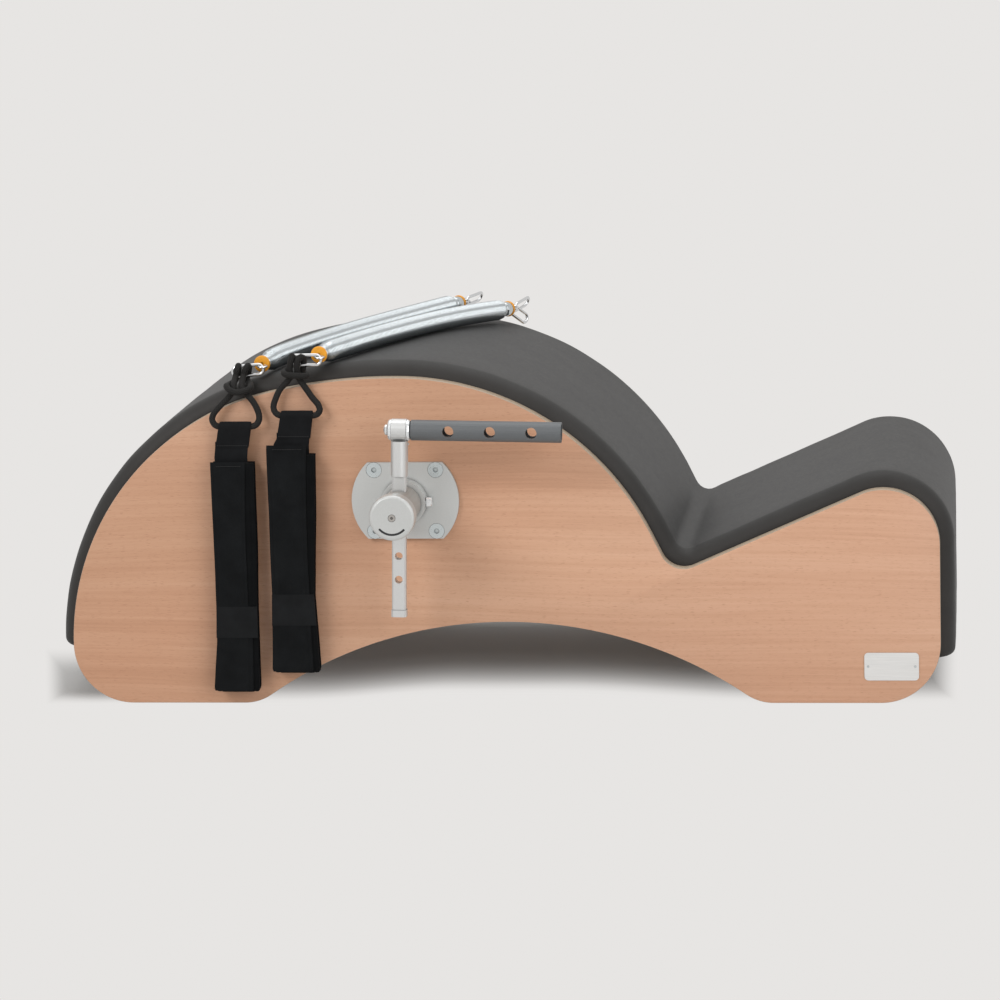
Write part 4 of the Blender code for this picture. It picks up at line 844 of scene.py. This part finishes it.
def strip(path, edges, thick, across, soft, seed, grooves, edge_keep):
    """Flat strap along a line of (y, z); edges(z) gives its left and right x."""
    path = np.array(path)
    tangents = unit(np.gradient(path, axis=0))
    rings = []
    for (y, z), (ty, tz) in zip(path, tangents):
        left, right = edges(z)
        sway = soft * 0.6 * noise.noise(Vector((seed, z * 22, 3.0)))
        outer, inner = [], []
        for s in np.sin(np.linspace(-math.pi / 2, math.pi / 2, across)):
            x = (left + right) / 2 + s * (right - left) / 2
            half = thick / 2 * (edge_keep + (1 - edge_keep) * (1 - abs(s) ** 9))
            half -= sum(GROOVE_DEPTH * bell(s - groove, 0.035) for groove in grooves)
            lump = soft * (noise.noise(Vector((x * 26 + seed, z * 17, y * 26)))
                           + 0.5 * noise.noise(Vector((x * 70 + seed, z * 60, y * 40 + 5))))
            for side, out in ((outer, half + lump), (inner, lump * 0.3 - half)):
                side.append((x + sway, y - tz * out, z + ty * out))
        rings.append(outer + inner[::-1])
    return loft(rings)


def cloth(path, edges):
    """Works out the width of a strip at each point along path; nothing is done with the widths."""
    widths = [edges(z)[1] - edges(z)[0] for _, z in path]


def stitches(left, right, y, z, count, width):
    """A row of short raised threads on a front face."""
    half = min(STITCH_LENGTH, (right - left) / count * 0.72) / 2
    thread = [(-half, 0, 0)]
    for share, swell in ((-0.6, 0.75), (0.0, 1.0), (0.6, 0.75)):
        thread += [(half * share, math.sin(a) * swell * width / 2, math.cos(a) * swell * width / 2)
                   for a in np.radians((0, 60, 120, 180, 240, 300))]
    thread.append((half, 0, 0))
    skin = []
    for j in range(6):
        after = (j + 1) % 6
        skin += [(0, 1 + after, 1 + j), (13 + j, 13 + after, 19)]
        skin += [(a + j, a + after, a + 6 + after, a + 6 + j) for a in (1, 7)]
    middles = left + (right - left) * (np.arange(count) + 0.5) / count
    return ([(middle + dx, y - dy, z - dz) for middle in middles for dx, dy, dz in thread],
            [tuple(20 * k + v for v in face) for k in range(count) for face in skin])


def strap(name, looks):
    spec, put = STRAPS[name], placer(name, "strap", looks)
    lift = perch(SPRINGS[name])
    shift = np.array((0, FRONT_Y, lift))
    start, end = (np.array(p) + shift for p in SPRINGS[name]["link"])
    put("chain_left", tube(link_line(start, end - start), LINK_WIRE, closed=True), "chrome",
        "spring_chrome", ["link_left"], 60)
    # Cord, which goes twice round the link and back into the webbing's fold
    route = []
    for x, y, z in np.array(ROPES[name]) / 10000:
        low, high = clamped((-0.020 - z) / 0.015), clamped((z + 0.016) / 0.010)
        x += spec["x"] + spec["wrap"] * high
        route.append(np.array((x, y, z - ROPE_SAG * low)) + shift)
    route.append(route[0] - np.array((0.0016, 0, 0)))
    route = resample(smooth_line(route, 12), 560)
    sizes = run_along(route)
    turn = STRANDS * np.pi * np.arange(ROPE_SIDES) / ROPE_SIDES
    slant = RIDGE_SLANT * sizes[:, None]
    ridges = np.maximum(abs(np.sin(turn + slant)), abs(np.sin(turn - slant)))
    shape = tube(route, ROPE_RADIUS * (0.955 + 0.045 * ridges), ROPE_SIDES)
    rope = put("rope", shape, "rope", "strap_rope", ["strap_rope"], 180,
               loft_uvs(sizes, ROPE_SIDES, shape[1]))

    def layer(piece, line, edges, nodes=(), held=None):
        look, thick, across, soft, seeds, grooves, keep, smooth = LAYERS[piece]
        slot = "strap_webbing" if look == "webbing" else "strap_fleece"
        shape = strip(line, edges, thick, across, soft, seeds[name == "far"], grooves, keep)
        made = put(piece, shape, look, slot, nodes, smooth)
        if held:
            cloth(line, edges)
        return made

    # Webbing: a tab folded over the cord and sewn to a tail that runs into the sleeve
    y0, fold, foot = STRAP_Y + FRONT_Y, spec["fold_z"] + lift, spec["stitch"] + lift
    round_cord = ROPE_RADIUS + CLEARANCE + TAB_THICK / 2
    path = [(-0.0013 - (round_cord - 0.0013) * share ** 2 * 0.7,
             foot + (fold - 0.006 - foot) * share) for share in np.linspace(0, 1, 8)[:-1]]
    path += [(round_cord * math.cos(a), fold + round_cord * math.sin(a))
             for a in np.radians(np.linspace(205, -25, 19))]
    path += [(-y, z) for y, z in reversed(path[:7])]
    path = [(y0 + y, z) for y, z in path]
    top_half, foot_half, lean = spec["tab"]

    def tab_edges(z):
        share = clamped((fold + round_cord - z) / (fold + round_cord - foot))
        half = top_half + (foot_half - top_half) * share
        middle = spec["x"] + lean * share * 2 + 0.001
        return middle - half, middle + half

    tab = layer("webbing", path, tab_edges, ["strap_webbing"])
    top = spec["top"] + lift
    tail = smooth_line([(y0 - 0.0004, top - 0.024), (y0 - 0.0004, top - 0.004),
                        (y0 - 0.0012, top + 0.004), (y0 - 0.0002, foot + 0.006)], 8)
    join_left, join_right = tab_edges(foot)

    def tail_edges(z):
        share = clamped((foot - z) / (foot - top - 0.006))
        return join_left + spec["tail"] * share, join_right - 0.0006 - 0.0008 * share

    layer("webbing_tail", tail, tail_edges, held="hung")
    sewn = foot + 0.0022
    left, right = tab_edges(sewn)
    row = put("webbing_stitches", stitches(left + 0.001, right - 0.001, y0 - 0.0022, sewn, 13,
                                           0.00055), "thread", "strap_webbing")
    cloth(path, tab_edges)
    # Sleeve: padded loop, a cover on its front and a smooth band near its foot
    zs, lefts, rights = np.array(spec["steps"])[::-1].T / 10000
    zs += lift
    sole = zs[0]
    bend = (SLEEVE_GAP + SLEEVE_LAYER) / 2
    floor = sole + SLEEVE_LAYER / 2 + bend
    down = np.arange(top - spec["drop"], floor, -0.003)
    line = [(y0 - bend, z) for z in down]
    line += [(y0 - bend * math.cos(a), floor - bend * math.sin(a))
             for a in np.linspace(0, math.pi, 9)]
    line += [(y0 + bend, z) for z in down[::-1]]

    def sides_at(z, left=0.0, right=0.0):
        """Left and right x of the sleeve, drawn in by left and right, its foot rounded."""
        up = min(max(z - sole, 0.0), FOOT_ROUND)
        bevel = FOOT_ROUND - math.sqrt(FOOT_ROUND ** 2 - (FOOT_ROUND - up) ** 2)
        return (spec["sleeve_x"] + float(np.interp(z, zs, lefts)) + left + bevel,
                spec["sleeve_x"] + float(np.interp(z, zs, rights)) - right - bevel)

    def cover_edges(z):
        return sides_at(z)[0], spec["sleeve_x"] + spec["flap"] + 0.0012 * math.sin((z - top) * 21)

    def band_edges(z):
        return sides_at(z, left=-0.0002, right=-0.0003)

    def toe_edges(z):
        left, right = sides_at(z)
        return left, right - (right - left) * 0.13

    sleeve = layer("sleeve", line, lambda z: sides_at(z, left=0.0012), ["strap_sleeve"])
    front_y = y0 - SLEEVE_GAP / 2 - SLEEVE_LAYER
    band_top, band_foot = (z + lift for z in spec["band"])
    crest = top + spec["rise"]
    cover = [(front_y - 0.0004 + 0.0010 * bell(z - crest, 0.003), z)
             for z in np.linspace(crest, band_top - 0.002, 60)]
    front = layer("sleeve_cover", cover, cover_edges)
    left, right = cover_edges(crest)
    row = put("sleeve_stitches", stitches(left + 0.006, right - 0.004, front_y - 0.0019,
                                          crest - 0.004, 12, 0.0006), "thread", "strap_fleece")
    cloth(cover, cover_edges)
    band = [(front_y - 0.0007, z) for z in np.arange(band_top, band_foot, -0.0025)]
    layer("sleeve_band", band, band_edges, held="laid")
    low = [(front_y - 0.0003, z) for z in np.linspace(band_foot + 0.002, sole + 0.003, 30)]
    layer("sleeve_foot", low, toe_edges, held="laid")


def knob_mark(look):
    """Dark arc let into the knob's face."""
    inner, outer, y = MARK_RADIUS - MARK_HALF, MARK_RADIUS + MARK_HALF, KNOB_FACE_Y + 0.0001
    section = (inner, 0), (outer, 0), (outer, 0.0004), (inner, 0.0004)
    angles = np.radians(np.linspace(-MARK_HALF_ANGLE, MARK_HALF_ANGLE, 40)) - LEAN
    shape = loft([[(HUB.x + r * math.sin(a), y + depth, HUB.z - r * math.cos(a))
                   for r, depth in section] for a in angles])
    add("knob_mark", shape, look, "knob", smooth=30)


# Looks of the CAD nodes that stay, by how their names begin; the first that fits counts
FINISHES = (
    ("plywood", ("rail_", "barrel_board")),
    ("tube", ("handle_tube", "handle_end_plug")),
    ("zinc", ("plate_screw", "hub_", "pivot_bush", "name_plate_pin")),
    ("plate", ("name_plate",)),
    ("hub", ("arm_hub", "knob_screw", "knob_pin")),
    ("bracket", ("mount_plate", "pivot_collar", "knob")),
    ("arm", ("arm_bar", "bar_end_cap", "handle_stop_pin")),
    ("bright", ("swing_lock_pin", "handle_bolt", "handle_washer")),
    ("veneer", ("side_panel",)),
)


def hardware(looks):
    for name, node in NODES.items():
        finish = next((look for look, starts in FINISHES if name.startswith(starts)), None)
        if finish:
            node.data.materials.clear()
            node.data.materials.append(looks[finish])


# Stage

PALE = (0.798, 0.783, 0.768)
FLOOR = (0.70, 0.69, 0.675)
FLOOR_REACH, WORLD_LIGHT = 9.0, 0.36
LAMPS = {                     # place, aim, size in metres, watts
    "key": ((-2.0, -2.3, 2.0), (0.05, 0, 0.15), 1.5, 47),
    "top": ((0.1, 0.3, 2.6), (0, 0.1, 0.1), 2.2, 22),
    "fill": ((2.2, -2.6, 1.3), (0.1, 0, 0.15), 2.4, 44),
}


def stage():
    """Pale floor that keeps the shadow near the object and fades into the backdrop; the glow is
    held back in shapes that paint shadow, partly real, round the feet.
    """
    look = Look("floor", FLOOR, 0.9, Specular_IOR_Level=0.0)
    x, y, _ = look.at
    left = look.times(x, -1)

    def rising(value, low, high):
        return look.spread(value, low, high, kind="SMOOTHSTEP")

    # Painted shadow, partly real: the glow is held back further forward round the feet than under
    # the arch, so the duller lit floor shows there as shadow
    forward = look.weighed(rising(x, 0.05, 0.26), 0.045, rising(left, 0.06, 0.22), 0.050)
    depth = look.spread(look.minus(look.plus(y, forward), 0.013), -0.15, 0.15)
    front = look.ramp(depth, (0.03, 1.0), (0.113, 0.97), (0.20, 0.77), (0.287, 0.51),
                      (0.377, 0.33), (0.45, 0.22), (0.533, 0.135), (0.627, 0.08), (0.807, 0.048))
    # Painted shadow, partly real: a patch by the left foot holds the glow back, so the duller lit
    # floor shows there as shadow
    toe = look.times(rising(left, 0.38, 0.44), rising(y, -0.180, -0.105))
    front = look.maths("MINIMUM", front, look.minus(1.0, toe))
    # Painted shadow, partly real, beside and behind the left foot too
    slant = look.maths("MULTIPLY_ADD", y, -0.214, left)
    beside = look.times(rising(left, 0.44, 0.47), rising(y, -0.02, 0.13))
    fade = look.most(front, rising(slant, 0.496, 0.521), rising(x, 0.430, 0.470), beside,
                     rising(y, 0.28, 0.40))
    glow = look.node("Emission", (*PALE, 1), 1.0).outputs[0]
    share = look.times(fade, look.seen())
    mixed = look.node("MixShader", share, look.shader.outputs[0], glow).outputs[0]
    look.feed(look.tree.nodes["Material Output"].inputs["Surface"], mixed)
    corners = np.array(((-1, -1, 0), (1, -1, 0), (1, 1, 0), (-1, 1, 0))) * FLOOR_REACH
    floor = make("floor", (corners, [(0, 1, 2, 3)]), look.material)
    floor.location = (0, 0, -0.0002)


def world():
    """Shows the backdrop as a pale grey, and lights with a plain white dome."""
    sky = bpy.data.worlds.new("world")
    sky.use_nodes = True
    graph = Graph(sky.node_tree)
    graph.tree.nodes.clear()
    lit = graph.node("Background", (1, 1, 1, 1), WORLD_LIGHT).outputs[0]
    shown = graph.node("Background", (*PALE, 1), 1.0).outputs[0]
    graph.node("OutputWorld", graph.node("MixShader", graph.seen(), lit, shown).outputs[0])
    bpy.context.scene.world = sky


def lamps():
    for name, (at, aim, size, watts) in LAMPS.items():
        data = bpy.data.lights.new(name, "AREA")
        data.shape, data.size, data.energy = "SQUARE", size, watts
        lamp = show(name, data)
        lamp.location = at
        lamp.rotation_mode = "QUATERNION"
        lamp.rotation_quaternion = (Vector(aim) - Vector(at)).to_track_quat("-Z", "Y")


LOOKS = {
    "veneer": veneer_look(),
    "plywood": plywood_look(),
    "vinyl": vinyl_look(),
    "bracket": metal_look("bracket_metal", (0.58, 0.59, 0.58), 0.38, 0.55, 0.03, 0.006),
    "arm": metal_look("arm_metal", (0.64, 0.645, 0.64), 0.36, 0.55, 0.03, 0.005),
    # Painted shade and reflection: the hub's metal is darker and warmer than the bracket's,
    # standing in for its shade behind the knob and the wood reflected in it
    "hub": metal_look("hub_painted_shade_metal", (0.42, 0.40, 0.375), 0.38, 0.6, 0.04, 0.004),
    "bright": metal_look("bright_metal", (0.82, 0.84, 0.85), 0.22, 0.7, 0.03, 0.003),
    "tube": metal_look("tube_paint", (0.128, 0.136, 0.142), 0.42, 0.25, 0.08),
    "zinc": metal_look("zinc_screws", (0.60, 0.65, 0.66), 0.28, 0.8, 0.015, 0.003),
    "plate": metal_look("plate_metal", (0.78, 0.78, 0.77), 0.34, 0.7, 0.04, 0.002, (30, 900, 900)),
    "spring": metal_look("spring_wire", (0.53, 0.57, 0.59), 0.17, 1.0, 0.03),
    "chrome": metal_look("chrome_wire", (0.68, 0.69, 0.70), 0.12, 1.0, 0.03, 0.003),
    "orange": plastic_look(),
    "rope": rope_look(),
    "webbing": cloth_look("black_webbing", (0.0078, 0.0083, 0.0092), 0.0011, 0.02),
    "band": cloth_look("smooth_band", (0.0086, 0.0092, 0.0100), 0.0008, 0.015, 0.75),
    "fleece": fleece_look("black_fleece", 1.0),
    "lining": fleece_look("dark_lining", 0.58),
    "thread": plain_look("thread", (0.022, 0.021, 0.021), 0.6),
    "mark": plain_look("dark_mark", (0.014, 0.014, 0.015), 0.5),
}

bpy.context.scene.view_settings.view_transform = "Standard"
camera()
for side in ("near", "far"):
    strap(side, LOOKS)
    spring(side, LOOKS)
panels(LOOKS["veneer"])
pad(LOOKS["vinyl"])
hardware(LOOKS)
knob_mark(LOOKS["mark"])
stage()
world()
lamps()
